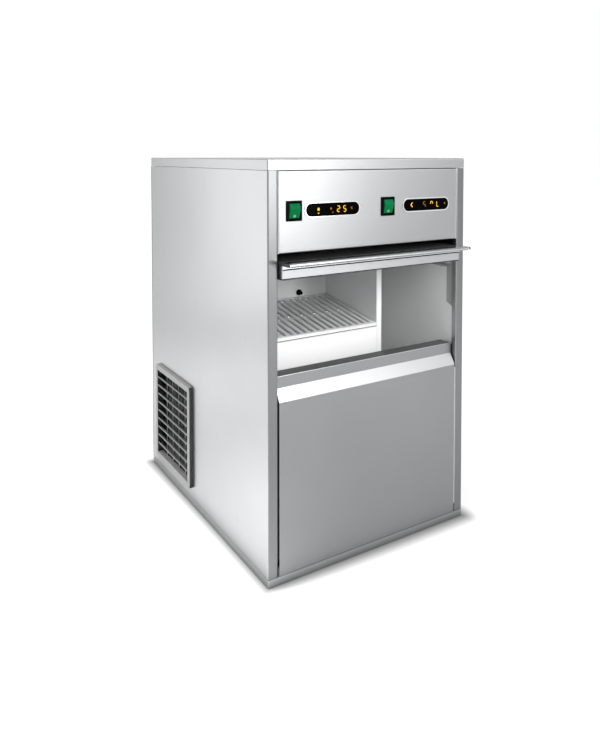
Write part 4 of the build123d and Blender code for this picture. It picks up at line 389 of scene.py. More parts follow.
@dataclass(frozen=True)
class Lit:
    """Coloured plastic that a lamp behind it makes glow, with a painted highlight glowing round one point
    where one is given.
    """

    name: str
    colour: Colour
    glow: Colour
    strength: float
    roughness: float = 0.2
    highlight_spot: Point | None = None
    highlight_colour: Colour = (1.0, 1.0, 1.0)
    highlight_r: float = 0.002
    spread: float = 0.08
    rough_spread: float = 0.03

    def material(self) -> bpy.types.Material:
        """The finish as a material, made once."""
        found = bpy.data.materials.get(self.name)
        if found:
            return found
        material = blank(self.name)
        skin = material.node_tree.nodes.new("ShaderNodeGroup")
        skin.node_tree = Effect.moulded()
        toned(material, skin.outputs["Tone"], self.colour, self.spread)
        varied(material, skin.outputs["Skin"], self.roughness, self.rough_spread)
        shader = principled(material)
        shader.inputs["Specular IOR Level"].default_value = 0.05
        shader.inputs["Emission Color"].default_value = self.glow + (1.0,)
        shader.inputs["Emission Strength"].default_value = self.strength
        if self.highlight_spot:
            self.paint_highlight(material)
        return material

    def paint_highlight(self, material: bpy.types.Material) -> None:
        """Paints a highlight: brightens the glow round the given point.

        Args:
            material: Material with a plain glow.
        """
        tree = material.node_tree
        place = tree.nodes.new("ShaderNodeTexCoord")
        away = tree.nodes.new("ShaderNodeVectorMath")
        away.operation = "DISTANCE"
        away.inputs[1].default_value = self.highlight_spot
        fade = tree.nodes.new("ShaderNodeValToRGB")
        fade.color_ramp.elements[0].position = 0.0
        fade.color_ramp.elements[0].color = self.highlight_colour + (1.0,)
        fade.color_ramp.elements[1].position = 1.0
        fade.color_ramp.elements[1].color = self.glow + (1.0,)
        share = tree.nodes.new("ShaderNodeMath")
        share.operation = "DIVIDE"
        share.inputs[1].default_value = self.highlight_r
        tree.links.new(place.outputs["Object"], away.inputs[0])
        tree.links.new(away.outputs["Value"], share.inputs[0])
        tree.links.new(share.outputs[0], fade.inputs["Fac"])
        tree.links.new(fade.outputs["Color"], principled(material).inputs["Emission Color"])


Finish = Metal | Moulded | Lit

FRONT = (0.0, -1.0, 0.0)
SLANT = (0.0, -0.906, 0.423)
OUTWARD_LEFT = (-1.0, 0.0, 0.0)
UPWARD = (0.0, 0.0, 1.0)

SATIN = Metal("satin_stainless", (0.31, 0.314, 0.318), 0.32)
# Side panels: their front-facing folds, the stiles, are painted darker than the sides, a painted shade for
# the darker reflection there.
SATIN_SHADED_STILES = Metal("satin_stainless_shaded_stiles", (0.31, 0.314, 0.318), 0.3,
                     zones=(Zone(Test.FACING, FRONT, 0.7, (0.18, 0.183, 0.186)),))
SATIN_LEVEL = Metal("satin_stainless_level", (0.31, 0.314, 0.318), 0.34, Grain.ALONG_X)
SATIN_FOOT = Metal("satin_stainless_foot", (0.34, 0.344, 0.348), 0.36, Grain.ALONG_X)
# Lower front panel painted darker than the other steel, a painted shade for the darker reflection it shows;
# its slanted band keeps the plain steel colour.
SATIN_SHADED_LOWER = Metal("satin_stainless_shaded_lower", (0.225, 0.228, 0.231), 0.38,
                    zones=(Zone(Test.FACING, SLANT, 0.96, (0.31, 0.314, 0.318)),))
SATIN_DEEP = Metal("satin_stainless_deep", (0.37, 0.374, 0.378), 0.34, Grain.ALONG_Y)
BRIGHT_RIM = Metal("bright_rim", (0.75, 0.75, 0.76), 0.14, Grain.ROUND_Z)
# Near-white metal of the rod on the sill's edge, far paler than the panel's steel: a painted highlight.
HIGHLIGHT_BEAD = Metal("sill_painted_highlight", (0.8, 0.8, 0.81), 0.3, Grain.ALONG_X, depth=0.0)
# Near-white polished metal of the slide's studs: painted glints.
GLINT_STUD = Metal("polished_glint_stud", (0.92, 0.92, 0.925), 0.12, Grain.ROUND_Z, depth=0.0)
LIP_METAL = Metal("drawn_lip", (0.55, 0.56, 0.56), 0.22, Grain.ALONG_X)
LIP_ROLL = Metal("rolled_lip", (0.27, 0.275, 0.28), 0.28, Grain.ALONG_X, depth=0.0)
SCREW_METAL = Metal("screw_nickel", (0.6, 0.6, 0.58), 0.2, Grain.ROUND_Z)
ZINC = Metal("zinc_sheet", (0.55, 0.57, 0.58), 0.35, Grain.ROUND_Z, 0.12)
TURNED = Metal("turned_steel", (0.5, 0.5, 0.51), 0.22, Grain.ROUND_Z)
CAST = Metal("cast_alloy", (0.42, 0.43, 0.44), 0.5, Grain.ROUND_Z, 0.1, 0.08, 0.25)
# Condenser fins painted dark: painted shade, so the vent shows dark behind its slats.
FINS_SHADE = Metal("fin_stock_painted_shade", (0.2, 0.21, 0.23), 0.35, Grain.ALONG_Z, 0.1)
COPPER = Metal("drawn_copper", (0.7, 0.32, 0.17), 0.28, Grain.ROUND_Z, 0.15)
BRASS = Metal("turned_brass", (0.6, 0.44, 0.18), 0.25, Grain.ROUND_Z)
WHITE = Moulded("white_liner", (0.86, 0.865, 0.865), 0.38)
# White bin liner, painted near-black above the door's opening: painted shade in the gap over the open door.
WHITE_LINER_SHADED_TOP = Moulded("white_bin_liner_shaded_top", (0.88, 0.885, 0.885), 0.38,
                      zones=(Zone(Test.PLACE, UPWARD, 0.4965, (0.008, 0.008, 0.008)),))
# Door liner painted near-black and matt: painted shade, so the gap over the open door reads black.
DOOR_LINER_SHADE = Moulded("door_liner_painted_shade", (0.05, 0.051, 0.052), 0.85, specular=0.02)
WHITE_TANK = Moulded("white_tank", (0.88, 0.88, 0.88), 0.3)
GRATE = Moulded("slide_plastic", (0.76, 0.78, 0.785), 0.2, 0.05, 700.0, 0.03, 0.4,
                zones=(Zone(Test.PLACE, FRONT, 0.1245, (0.9, 0.9, 0.9)),))
NYLON = Moulded("milky_nylon", (0.78, 0.78, 0.74), 0.42)
FOAM = Moulded("rigid_foam", (0.75, 0.66, 0.42), 0.9, 0.12, 420.0, 0.5)
# Bin foam painted black: painted shade in the seams it shows through.
FOAM_SHADE = Moulded("bin_foam_painted_shade", (0.02, 0.0205, 0.021), 0.9, 0.12, 420.0, 0.5)
# Side vent: silver slats, a darker frame at its outer side, and its front-facing faces painted near-black, a
# painted shade.
VENT_SHADED_FRONT = Moulded("vent_silver_shaded_front", (0.38, 0.37, 0.35), 0.4, 0.03,
               zones=(Zone(Test.PLACE, OUTWARD_LEFT, 0.2078, (0.23, 0.235, 0.238)),
                      Zone(Test.FACING, FRONT, 0.6, (0.02, 0.021, 0.023))))
GREY = Moulded("grey_trim", (0.075, 0.08, 0.078), 0.42)
RAIL_GREY = Moulded("rail_grey", (0.36, 0.37, 0.37), 0.45)
BLACK = Moulded("deep_black_plastic", (0.002, 0.002, 0.002), 0.24, 0.05, 900.0, 0.05, 0.0, 0.02)
BLACK_MATT = Moulded("black_matt", (0.015, 0.015, 0.016), 0.55, 0.1, 600.0, 0.1)
GLASS_BLACK = Moulded("smoked_window", (0.0006, 0.0006, 0.0007), 0.12, 0.02, 900.0, 0.0, 0.0, 0.015)
ENAMEL = Moulded("enamelled_black", (0.014, 0.014, 0.016), 0.25, 0.1, 300.0, 0.12, 0.4)
RUBBER = Moulded("soft_rubber", (0.02, 0.02, 0.02), 0.7, 0.1, 500.0, 0.2)
BOARD = Moulded("lacquered_board", (0.02, 0.14, 0.05), 0.4, 0.15, 160.0, 0.2)
GREEN = Lit("green_rocker", (0.0, 0.1, 0.03), (0.0, 0.3, 0.1), 0.12)
# Green rockers, each with a bright glowing spot on its cap: a painted highlight.
GREEN_LEFT = Lit("green_rocker_left", GREEN.colour, GREEN.glow, GREEN.strength, 0.3,
                 highlight_spot=(-0.156492, -0.2562, 0.5675), highlight_colour=(3.0, 5.4, 2.4), highlight_r=0.003)
GREEN_RIGHT = Lit("green_rocker_right", GREEN.colour, GREEN.glow, GREEN.strength, 0.3,
                  highlight_spot=(0.026487, -0.2562, 0.5675), highlight_colour=(3.0, 5.4, 2.4), highlight_r=0.003)
AMBER = Lit("amber_symbol", (0.6, 0.3, 0.02), (1.0, 0.5, 0.03), 0.75)
AMBER_DIM = Lit("amber_symbol_dim", (0.15, 0.07, 0.01), (0.7, 0.33, 0.02), 0.2)

NODE_FINISHES: dict[str, Finish] = {
    "base_pan": SATIN_FOOT,
    "left_side_panel": SATIN_SHADED_STILES,
    "right_side_panel": SATIN_SHADED_STILES,
    "back_panel": SATIN,
    "top_cover": SATIN_LEVEL,
    "fascia_panel": SATIN,
    "lower_front_panel": SATIN_SHADED_LOWER,
    "sill_strip": GREY,
    "side_vent_grille": VENT_SHADED_FRONT,
    "panel_screws": SCREW_METAL,
    "bin_liner": WHITE_LINER_SHADED_TOP,
    "bin_insulation": FOAM_SHADE,
    "bin_supports": ZINC,
    "divider": WHITE,
    "water_tank": WHITE_TANK,
    "ice_grate": GRATE,
    "ice_level_sensor": BLACK,
    "door_skin": SATIN_DEEP,
    "door_liner": DOOR_LINER_SHADE,
    "door_insulation": FOAM,
    "door_handle": LIP_METAL,
    "door_handle_caps": BLACK_MATT,
    "door_hinge_pins": ZINC,
    "door_rollers": NYLON,
    "door_guide_rails": RAIL_GREY,
    "switch_housings": BLACK,
    "left_rocker": GREEN,
    "right_rocker": GREEN,
    "display_bezels": BRIGHT_RIM,
    "display_lenses": GLASS_BLACK,
    "display_boards": BOARD,
    "control_box": ZINC,
    "control_board": BOARD,
    "evaporator_barrel": TURNED,
    "barrel_insulation": FOAM,
    "ice_head": CAST,
    "auger": TURNED,
    "auger_bearings": BRASS,
    "drum_housing": CAST,
    "output_coupling": TURNED,
    "drive_gearbox": CAST,
    "drive_motor": ENAMEL,
    "ice_chute": TURNED,
    "compressor": ENAMEL,
    "compressor_grommets": RUBBER,
    "compressor_terminal_cover": BLACK_MATT,
    "condenser": FINS_SHADE,
    "fan_shroud": ZINC,
    "fan_rotor": BLACK_MATT,
    "fan_motor": ENAMEL,
    "fan_bracket": ZINC,
    "filter_drier": COPPER,
    "refrigerant_pipes": COPPER,
    "water_inlet_valve": BLACK_MATT,
    "water_pipes": NYLON,
    "float_valve": NYLON,
    "float_arm": NYLON,
    "drain_pipe": GREY,
    "power_inlet": BLACK_MATT,
}


def dress(node: str, finish: Finish) -> None:
    """Gives a CAD node its finish.

    Args:
        node: Name of the node.
        finish: Finish of the whole node.
    """
    mesh = frame["nodes"][node].data
    if not mesh.materials:
        mesh.materials.append(None)
    for index in range(len(mesh.materials)):
        mesh.materials[index] = finish.material()


def piece(name: str, shape: bmesh.types.BMesh, body: str, finish: Finish,
          smooth: bool = True) -> bpy.types.Object:
    """Turns a finished bmesh into a piece that rides on a body.

    Args:
        name: Name of the piece.
        shape: Mesh in the frame of the model; it is freed.
        body: Body that the piece rides on.
        finish: Finish of the piece.
        smooth: Whether its rounded faces are shaded smooth.

    Returns:
        The new object.
    """
    bmesh.ops.remove_doubles(shape, verts=shape.verts[:], dist=WELD)
    bmesh.ops.recalc_face_normals(shape, faces=shape.faces[:])
    mesh = bpy.data.meshes.new(name)
    shape.to_mesh(mesh)
    shape.free()
    if smooth:
        mesh.shade_smooth()
        mesh.set_sharp_from_angle(angle=SHARP_ANGLE)
    mesh.materials.append(finish.material())
    made = bpy.data.objects.new(name, mesh)
    bpy.context.scene.collection.objects.link(made)
    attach(made, body)
    LOG.info("%s: %d faces on %s", name, len(mesh.polygons), body)
    return made


def bevelled(shape: bmesh.types.BMesh, edges: Iterable[bmesh.types.BMEdge], width: float, steps: int) -> None:
    """Rounds edges of a bmesh.

    Args:
        shape: Mesh to change.
        edges: Edges to round.
        width: Width of the rounding.
        steps: Faces across it.
    """
    bmesh.ops.bevel(shape, geom=list(edges), offset=width, segments=steps, profile=0.5,
                    affect="EDGES", clamp_overlap=True, material=-1)


def slab(shape: bmesh.types.BMesh, low: Point, high: Point) -> list[bmesh.types.BMVert]:
    """Adds a rectangular block between two corners.

    Args:
        shape: Mesh to add to.
        low: Lowest corner.
        high: Highest corner.

    Returns:
        The block's vertices.
    """
    size = Vector(high) - Vector(low)
    middle = (Vector(high) + Vector(low)) / 2
    place = Matrix.Translation(middle) @ Matrix.Diagonal((*size, 1.0))
    return bmesh.ops.create_cube(shape, size=1.0, matrix=place)["verts"]


@dataclass
class CadNodes:
    """Packed CAD nodes of the machine, each with its finish."""

    def build(self) -> None:
        """Dresses every node."""
        for node, finish in NODE_FINISHES.items():
            dress(node, finish)
            LOG.info("%s: %s", node, finish.name)


@dataclass(frozen=True)
class Bar:
    """Straight mark of a display, placed from the display's middle.

    Attributes:
        x: Its middle across the panel.
        z: Its middle in height.
        width: Its size across the panel.
        height: Its size in height.
        turn: Its turn in degrees, seen from the front.
        faint: Whether it only glows faintly.
    """

    x: float
    z: float
    width: float
    height: float
    turn: float = 0.0
    faint: bool = False

    def bars(self) -> list["Bar"]:
        """The mark itself."""
        return [self]


@dataclass(frozen=True)
class Arrow:
    """Arrow head that points to the left, placed from the display's middle.

    Attributes:
        x: Its middle across the panel.
        z: Its middle in height.
        length: Length of each stroke.
        stroke: Width of each stroke.
        slope: Slope of the strokes in degrees.
        faint: Whether it only glows faintly.
    """

    x: float
    z: float
    length: float
    stroke: float
    slope: float
    faint: bool = False

    def bars(self) -> list[Bar]:
        """Its two strokes."""
        rise = self.length / 2 * math.sin(math.radians(self.slope)) - self.stroke / 4
        return [
            Bar(self.x, self.z + rise, self.length, self.stroke, -self.slope),
            Bar(self.x, self.z - rise, self.length, self.stroke, self.slope),
        ]


@dataclass(frozen=True)
class Digit:
    """Seven-segment digit at mid height, placed from the display's middle.

    Attributes:
        x: Its middle across the panel.
        lit: Letters of its lit segments, a to g.
        faint: Whether it only glows faintly.
        width: Distance between its uprights.
        height: Distance between its top and its foot.
        stroke: Width of a segment.
    """

    x: float
    lit: str
    faint: bool = False
    width: float = 0.0046
    height: float = 0.0092
    stroke: float = 0.0012

    def bars(self) -> list[Bar]:
        """Its lit segments."""
        half_w, half_h = self.width / 2, self.height / 2
        across, upright = self.width - self.stroke, half_h - self.stroke
        segments = {
            "a": (0.0, half_h, across, self.stroke),
            "b": (half_w, half_h / 2, self.stroke, upright),
            "c": (half_w, -half_h / 2, self.stroke, upright),
            "d": (0.0, -half_h, across, self.stroke),
            "e": (-half_w, -half_h / 2, self.stroke, upright),
            "f": (-half_w, half_h / 2, self.stroke, upright),
            "g": (0.0, 0.0, across, self.stroke),
        }
        return [Bar(self.x + x, z, width, height) for x, z, width, height in map(segments.get, self.lit)]


Symbol = Bar | Arrow | Digit

LEFT_SYMBOLS: tuple[Symbol, ...] = (
    Bar(-0.0276, 0.0008, 0.0034, 0.0044),
    Bar(-0.0276, -0.0054, 0.002, 0.0018),
    Bar(-0.004, 0.001, 0.0028, 0.0034, 35.0, faint=True),
    Bar(-0.0006, -0.005, 0.0026, 0.0015, faint=True),
    Digit(0.0105, "abged"),
    Digit(0.0226, "afgcd"),
    Arrow(0.0359, 0.0007, 0.0042, 0.0012, 30.0, faint=True),
)
RIGHT_SYMBOLS: tuple[Symbol, ...] = (
    Arrow(-0.0334, 0.0005, 0.0056, 0.0016, 48.0),
    Digit(-0.0046, "afgc", faint=True),
    Digit(0.012, "abf"),
    Digit(0.0262, "fed"),
    Arrow(0.0425, 0.0007, 0.0038, 0.0012, 30.0, faint=True),
)


@dataclass
class Displays:
    """Glowing symbols just in front of the two round-ended windows of the control panel."""

    centre_z: float = 0.575415
    left_x: float = -0.0845
    right_x: float = 0.1115
    lift: float = 0.0001
    depth: float = 0.00025

    def add(self, shape: bmesh.types.BMesh, mark: Bar, middle_x: float) -> None:
        """Adds one bar.

        Args:
            shape: Mesh to add to.
            mark: Bar to add.
            middle_x: Middle of its display across the panel.
        """
        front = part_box("display_lenses")[0].y - self.lift
        half = Vector((mark.width, self.depth, mark.height)) / 2
        verts = slab(shape, tuple(-half), tuple(half))
        place = Matrix.Translation((middle_x + mark.x, front, self.centre_z + mark.z))
        turn = Matrix.Rotation(math.radians(mark.turn), 4, "Y")
        bmesh.ops.transform(shape, matrix=place @ turn, verts=verts)

    def build(self) -> None:
        """Builds the lit and the faint symbols of both displays."""
        lit, faint = bmesh.new(), bmesh.new()
        for middle_x, symbols in ((self.left_x, LEFT_SYMBOLS), (self.right_x, RIGHT_SYMBOLS)):
            for symbol in symbols:
                for mark in symbol.bars():
                    self.add(faint if symbol.faint else lit, mark, middle_x)
        piece("display_lit_symbols", lit, "cabinet", AMBER, False)
        piece("display_faint_symbols", faint, "cabinet", AMBER_DIM, False)


@dataclass
class Rockers:
    """Green caps of the two switches, each with a ridge above its middle.

    Heights and depths are measured from the axle of the switch.
    """

    width: float = 0.0186
    top_z: float = 0.0117
    ridge_z: float = 0.0036
    foot_z: float = -0.0117
    top_out: float = 0.0054
    ridge_out: float = 0.0088
    foot_out: float = 0.0034
    back_in: float = 0.0055
    back_share: float = 0.6
    edge: float = 0.0007
    edge_steps: int = 4

    def cap(self, node: str, body: str, finish: Finish) -> None:
        """Builds one cap round the axle of its switch.

        Args:
            node: CAD rocker that the cap stands for.
            body: Body that it rides on.
            finish: Finish of the cap.
        """
        low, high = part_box(node)
        x = (low.x + high.x) / 2
        joint = next(j for j in frame["record"]["behaviour"]["joints"] if j["child"] == body)
        axle = Vector(joint["pos_m"])
        outline = [
            (-self.foot_out, self.foot_z),
            (-self.ridge_out, self.ridge_z),
            (-self.top_out, self.top_z),
            (self.back_in, self.top_z * self.back_share),
            (self.back_in, self.foot_z * self.back_share),
        ]
        shape = bmesh.new()
        verts = [shape.verts.new((x - self.width / 2, axle.y + y, axle.z + z)) for y, z in outline]
        side = shape.faces.new(verts)
        grown = bmesh.ops.extrude_face_region(shape, geom=[side])
        moved = [g for g in grown["geom"] if isinstance(g, bmesh.types.BMVert)]
        bmesh.ops.translate(shape, verts=moved, vec=(self.width, 0.0, 0.0))
        front = [e for e in shape.edges if all(v.co.y < axle.y for v in e.verts)]
        bevelled(shape, front, self.edge, self.edge_steps)
        made = piece(f"{node}_cap", shape, body, finish)
        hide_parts(node)

    def build(self) -> None:
        """Builds both caps."""
        self.cap("left_rocker", "left_switch", GREEN_LEFT)
        self.cap("right_rocker", "right_switch", GREEN_RIGHT)


@dataclass
class Trim:
    """Round edge of the door's lip, seals beside the front panels, and rods of painted light: a black rod as
    a painted shadow under the lip's roll, a bright rod as a painted highlight on the sill's edge, and a grey
    rod as a painted shadow under the slide's rim.

    Lengths named inset, out, drop and rise are measured from the edge that a rod follows.
    """

    roll_r: float = 0.0031
    roll_inset: float = 0.0008
    roll_drop: float = 0.0022
    lip_shadow_r: float = 0.0011
    lip_shadow_out: float = 0.00077
    lip_shadow_drop: float = 0.00099
    highlight_bead_r: float = 0.0009
    highlight_bead_out: float = 0.0006
    highlight_bead_drop: float = 0.0004
    slide_shadow_r: float = 0.0005
    slide_shadow_rise: float = 0.00075
    rod_steps: int = 24
    end_share: float = 0.6
    end_steps: int = 4
    recess_h: float = 0.042
    seal_in: float = 0.0004
    seal_depth: float = 0.006
    seal_gap: float = 0.0001
    seal_edge: float = 0.0003
    seal_steps: int = 2

    def rod(self, name: str, ends: tuple[float, float], y: float, z: float, radius: float, body: str,
            finish: Finish) -> None:
        """Adds a straight rod across the machine, with rounded ends.

        Args:
            name: Name of the piece.
            ends: Its left and right end.
            y: Its middle in depth.
            z: Its middle in height.
            radius: Its radius.
            body: Body that it rides on.
            finish: Finish of the rod.
        """
        left, right = ends
        shape = bmesh.new()
        made = bmesh.ops.create_cone(shape, cap_ends=True, cap_tris=False, segments=self.rod_steps,
                                     radius1=radius, radius2=radius, depth=right - left)
        place = Matrix.Translation(((left + right) / 2, y, z)) @ Matrix.Rotation(math.pi / 2, 4, "Y")
        bmesh.ops.transform(shape, matrix=place, verts=made["verts"])
        rims = [e for e in shape.edges if any(len(f.verts) == self.rod_steps for f in e.link_faces)]
        bevelled(shape, rims, radius * self.end_share, self.end_steps)
        piece(name, shape, body, finish)

    def seal(self, name: str, low_x: float, high_x: float, low_z: float, high_z: float) -> None:
        """Adds the seal in the upright gap between a front panel and the fold beside it.

        Args:
            name: Name of the piece.
            low_x: Left side of the gap.
            high_x: Right side of the gap.
            low_z: Foot of the gap.
            high_z: Top of the gap.
        """
        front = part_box("fascia_panel")[0].y + self.seal_in
        back = front + self.seal_depth
        shape = bmesh.new()
        slab(shape, (low_x + self.seal_gap, front, low_z + self.seal_gap),
             (high_x - self.seal_gap, back, high_z - self.seal_gap))
        outer = [e for e in shape.edges if all(v.co.y < (front + back) / 2 for v in e.verts)]
        bevelled(shape, outer, self.seal_edge, self.seal_steps)
        piece(name, shape, "cabinet", RAIL_GREY)

    def build(self) -> None:
        """Builds the three seals, the round edge of the lip, and the three rods of painted shadow and painted
        highlight.
        """
        left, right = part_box("left_side_panel")[1].x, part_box("right_side_panel")[0].x
        low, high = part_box("fascia_panel")
        self.seal("fascia_seal_left", left, low.x, low.z, high.z)
        self.seal("fascia_seal_right", high.x, right, low.z, high.z)
        low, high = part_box("lower_front_panel")
        self.seal("lower_seal_right", high.x, right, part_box("base_pan")[1].z, high.z - self.recess_h)
        low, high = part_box("door_handle")
        self.rod("door_lip_roll", (low.x + self.roll_inset, high.x - self.roll_inset), low.y + self.roll_r,
                 high.z - self.roll_drop, self.roll_r, "door", LIP_ROLL)
        # Black rod under the roll of the lip: a painted shadow line.
        self.rod("door_lip_painted_shadow", (low.x + self.lip_shadow_r, high.x - self.lip_shadow_r),
                 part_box("door_skin")[0].y - self.lip_shadow_out, low.z - self.lip_shadow_drop, self.lip_shadow_r,
                 "door", BLACK)
        # Bright rod along the front edge of the sill: a painted highlight line.
        low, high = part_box("sill_strip")
        self.rod("sill_edge_painted_highlight", (low.x, high.x), low.y - self.highlight_bead_out, high.z - self.highlight_bead_drop,
                 self.highlight_bead_r, "cabinet", HIGHLIGHT_BEAD)
        # Dark grey rod under the front of the slide's rim: a painted shadow line.
        low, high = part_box("ice_grate")
        self.rod("slide_front_painted_shadow", (low.x, high.x), low.y, low.z + self.slide_shadow_rise, self.slide_shadow_r,
                 "cabinet", GREY)


@dataclass
class Slide:
    """Near-white polished studs on every second slat of the ice slide, over its two cross rods: painted
    glints that give the slide's bright dots.

    Attributes:
        slats: Number of slats.
        rim_left: Width of the slide's rim on the left.
        rim_right: Width of its rim on the right.
        thick: Thickness of the slide, square to its slope.
        rise: Height that it gains from front to back.
        rods: Places of the rods, as shares of its depth.
        every: Step from one slat with a stud to the next.
        stud: Radii of a stud.
    """

    slats: int = 19
    rim_left: float = 0.006
    rim_right: float = 0.01
    thick: float = 0.007
    rise: float = 0.027
    rods: tuple[float, float] = (0.47, 0.9)
    every: int = 2
    stud: Point = (0.0027, 0.0028, 0.0024)

    def build(self) -> None:
        """Builds the studs, which stand on the crowns of the slats."""
        low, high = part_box("ice_grate")
        depth = high.y - low.y
        slope = math.atan2(self.rise, depth)
        top = low.z + self.thick * math.cos(slope)
        left, right = low.x + self.rim_left, high.x - self.rim_right
        pitch = (right - left) / self.slats
        form = Matrix.Rotation(slope, 4, "X") @ Matrix.Diagonal((*self.stud, 1.0))
        shape = bmesh.new()
        for share in self.rods:
            for slat in range(1, self.slats, self.every):
                place = (left + pitch * (slat + 0.5), low.y + depth * share, top + self.rise * share)
                bmesh.ops.create_icosphere(shape, subdivisions=3, radius=1.0,
                                           matrix=Matrix.Translation(place) @ form)
        piece("slide_glint_studs", shape, "cabinet", GLINT_STUD)


@dataclass
class BackFittings:
    """Pan heads with cross recesses, in place of the plain screws of the back."""

    head_r: float = 0.0036
    head_h: float = 0.002
    head_steps: int = 20
    round_share: float = 0.55
    round_steps: int = 3
    slot_w: float = 0.0008
    slot_l: float = 0.0042
    slot_deep: float = 0.0003
    slot_proud: float = 0.00002
    weld: float = 1e-6

    def places(self) -> list[Vector]:
        """Middles of the outer faces of the CAD screws."""
        copy = bmesh.new()
        copy.from_mesh(frame["nodes"]["panel_screws"].data)
        bmesh.ops.remove_doubles(copy, verts=copy.verts[:], dist=self.weld)
        found: list[Vector] = []
        left = set(copy.verts)
        while left:
            island, queue = [], [left.pop()]
            while queue:
                vert = queue.pop()
                island.append(vert.co.copy())
                others = {edge.other_vert(vert) for edge in vert.link_edges} & left
                left -= others
                queue.extend(others)
            low = Vector([min(c[i] for c in island) for i in range(3)])
            high = Vector([max(c[i] for c in island) for i in range(3)])
            found.append(Vector(((low.x + high.x) / 2, high.y, (low.z + high.z) / 2)))
        copy.free()
        return sorted(found, key=lambda middle: (middle.z, middle.x))

    def heads(self, places: list[Vector]) -> None:
        """Builds the heads, rounded at the outer rim.

        Args:
            places: Middles of their outer faces.
        """
        shape = bmesh.new()
        for place in places:
            made = bmesh.ops.create_cone(shape, cap_ends=True, cap_tris=False, segments=self.head_steps,
                                         radius1=self.head_r, radius2=self.head_r, depth=self.head_h)
            middle = Matrix.Translation(place - Vector((0.0, self.head_h / 2, 0.0)))
            turn = Matrix.Rotation(-math.pi / 2, 4, "X")
            bmesh.ops.transform(shape, matrix=middle @ turn, verts=made["verts"])
            outer = {v for v in made["verts"] if v.co.y > place.y - self.head_h / 2}
            rim = [e for e in shape.edges if outer.issuperset(e.verts)]
            bevelled(shape, rim, self.head_h * self.round_share, self.round_steps)
        made = piece("back_screw_heads", shape, "cabinet", SCREW_METAL)
        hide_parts("panel_screws")

    def recesses(self, places: list[Vector]) -> None:
        """Builds the dark crosses in the heads.

        Args:
            places: Middles of the heads' outer faces.
        """
        shape = bmesh.new()
        for place in places:
            for width, height in ((self.slot_l, self.slot_w), (self.slot_w, self.slot_l)):
                slab(shape, (place.x - width / 2, place.y - self.slot_deep, place.z - height / 2),
                     (place.x + width / 2, place.y + self.slot_proud, place.z + height / 2))
        piece("back_screw_recesses", shape, "cabinet", BLACK_MATT, False)

    def build(self) -> None:
        """Builds the heads and their recesses."""
        places = self.places()
        self.heads(places)
        self.recesses(places)


@dataclass(frozen=True)
class Lamp:
    """Soft rectangular lamp.

    Attributes:
        name: Name of the lamp.
        place: Its middle.
        aim: Point that it faces.
        size: Width and height.
        radiance: Brightness of its surface.
        floor_only: Whether it lights the floor alone.
    """

    name: str
    place: Point
    aim: Point
    size: tuple[float, float]
    radiance: float
    floor_only: bool = False

    def hang(self, ground: bpy.types.Collection) -> None:
        """Adds the lamp to the scene.

        Args:
            ground: Collection with the floor alone.
        """
        width, height = self.size
        data = bpy.data.lights.new(self.name, "AREA")
        data.shape = "RECTANGLE"
        data.size, data.size_y = width, height
        data.energy = self.radiance * math.pi * width * height
        made = bpy.data.objects.new(self.name, data)
        made.location = self.place
        made.rotation_euler = (Vector(self.aim) - Vector(self.place)).to_track_quat("-Z", "Y").to_euler()
        made.visible_camera = False
        if self.floor_only:
            made.light_linking.receiver_collection = ground
            made.visible_glossy = False
        bpy.context.scene.collection.objects.link(made)


LAMPS = (
    Lamp("key", (0.8, -2.2, 0.7), (-0.1, -0.25, 0.45), (0.5, 0.9), 7.4),
    Lamp("key_high", (1.3, -1.87, 1.33), (0.0, -0.25, 0.3), (0.9, 0.6), 3.0),
    Lamp("front", (0.3, -2.3, 1.45), (0.0, -0.2, 0.35), (1.2, 1.0), 10.0),
    Lamp("fill", (-1.5, -2.2, 1.5), (0.0, 0.0, 0.35), (1.5, 1.5), 1.2),
    Lamp("left_rear", (-0.95, 0.92, 0.6), (-0.2, 0.0, 0.35), (0.6, 1.1), 1.9),
    Lamp("left_floor", (-0.45, -0.15, 0.5), (-0.43, -0.15, 0.0), (0.3, 0.34), 36.0, floor_only=True),
    Lamp("left_floor_rear", (-0.76, 0.6, 0.36), (-0.75, 0.6, 0.0), (0.36, 0.4), 10.0, floor_only=True),
    Lamp("overhead", (-0.2, 0.2, 2.6), (0.0, 0.0, 0.3), (2.2, 2.2), 0.6),
)


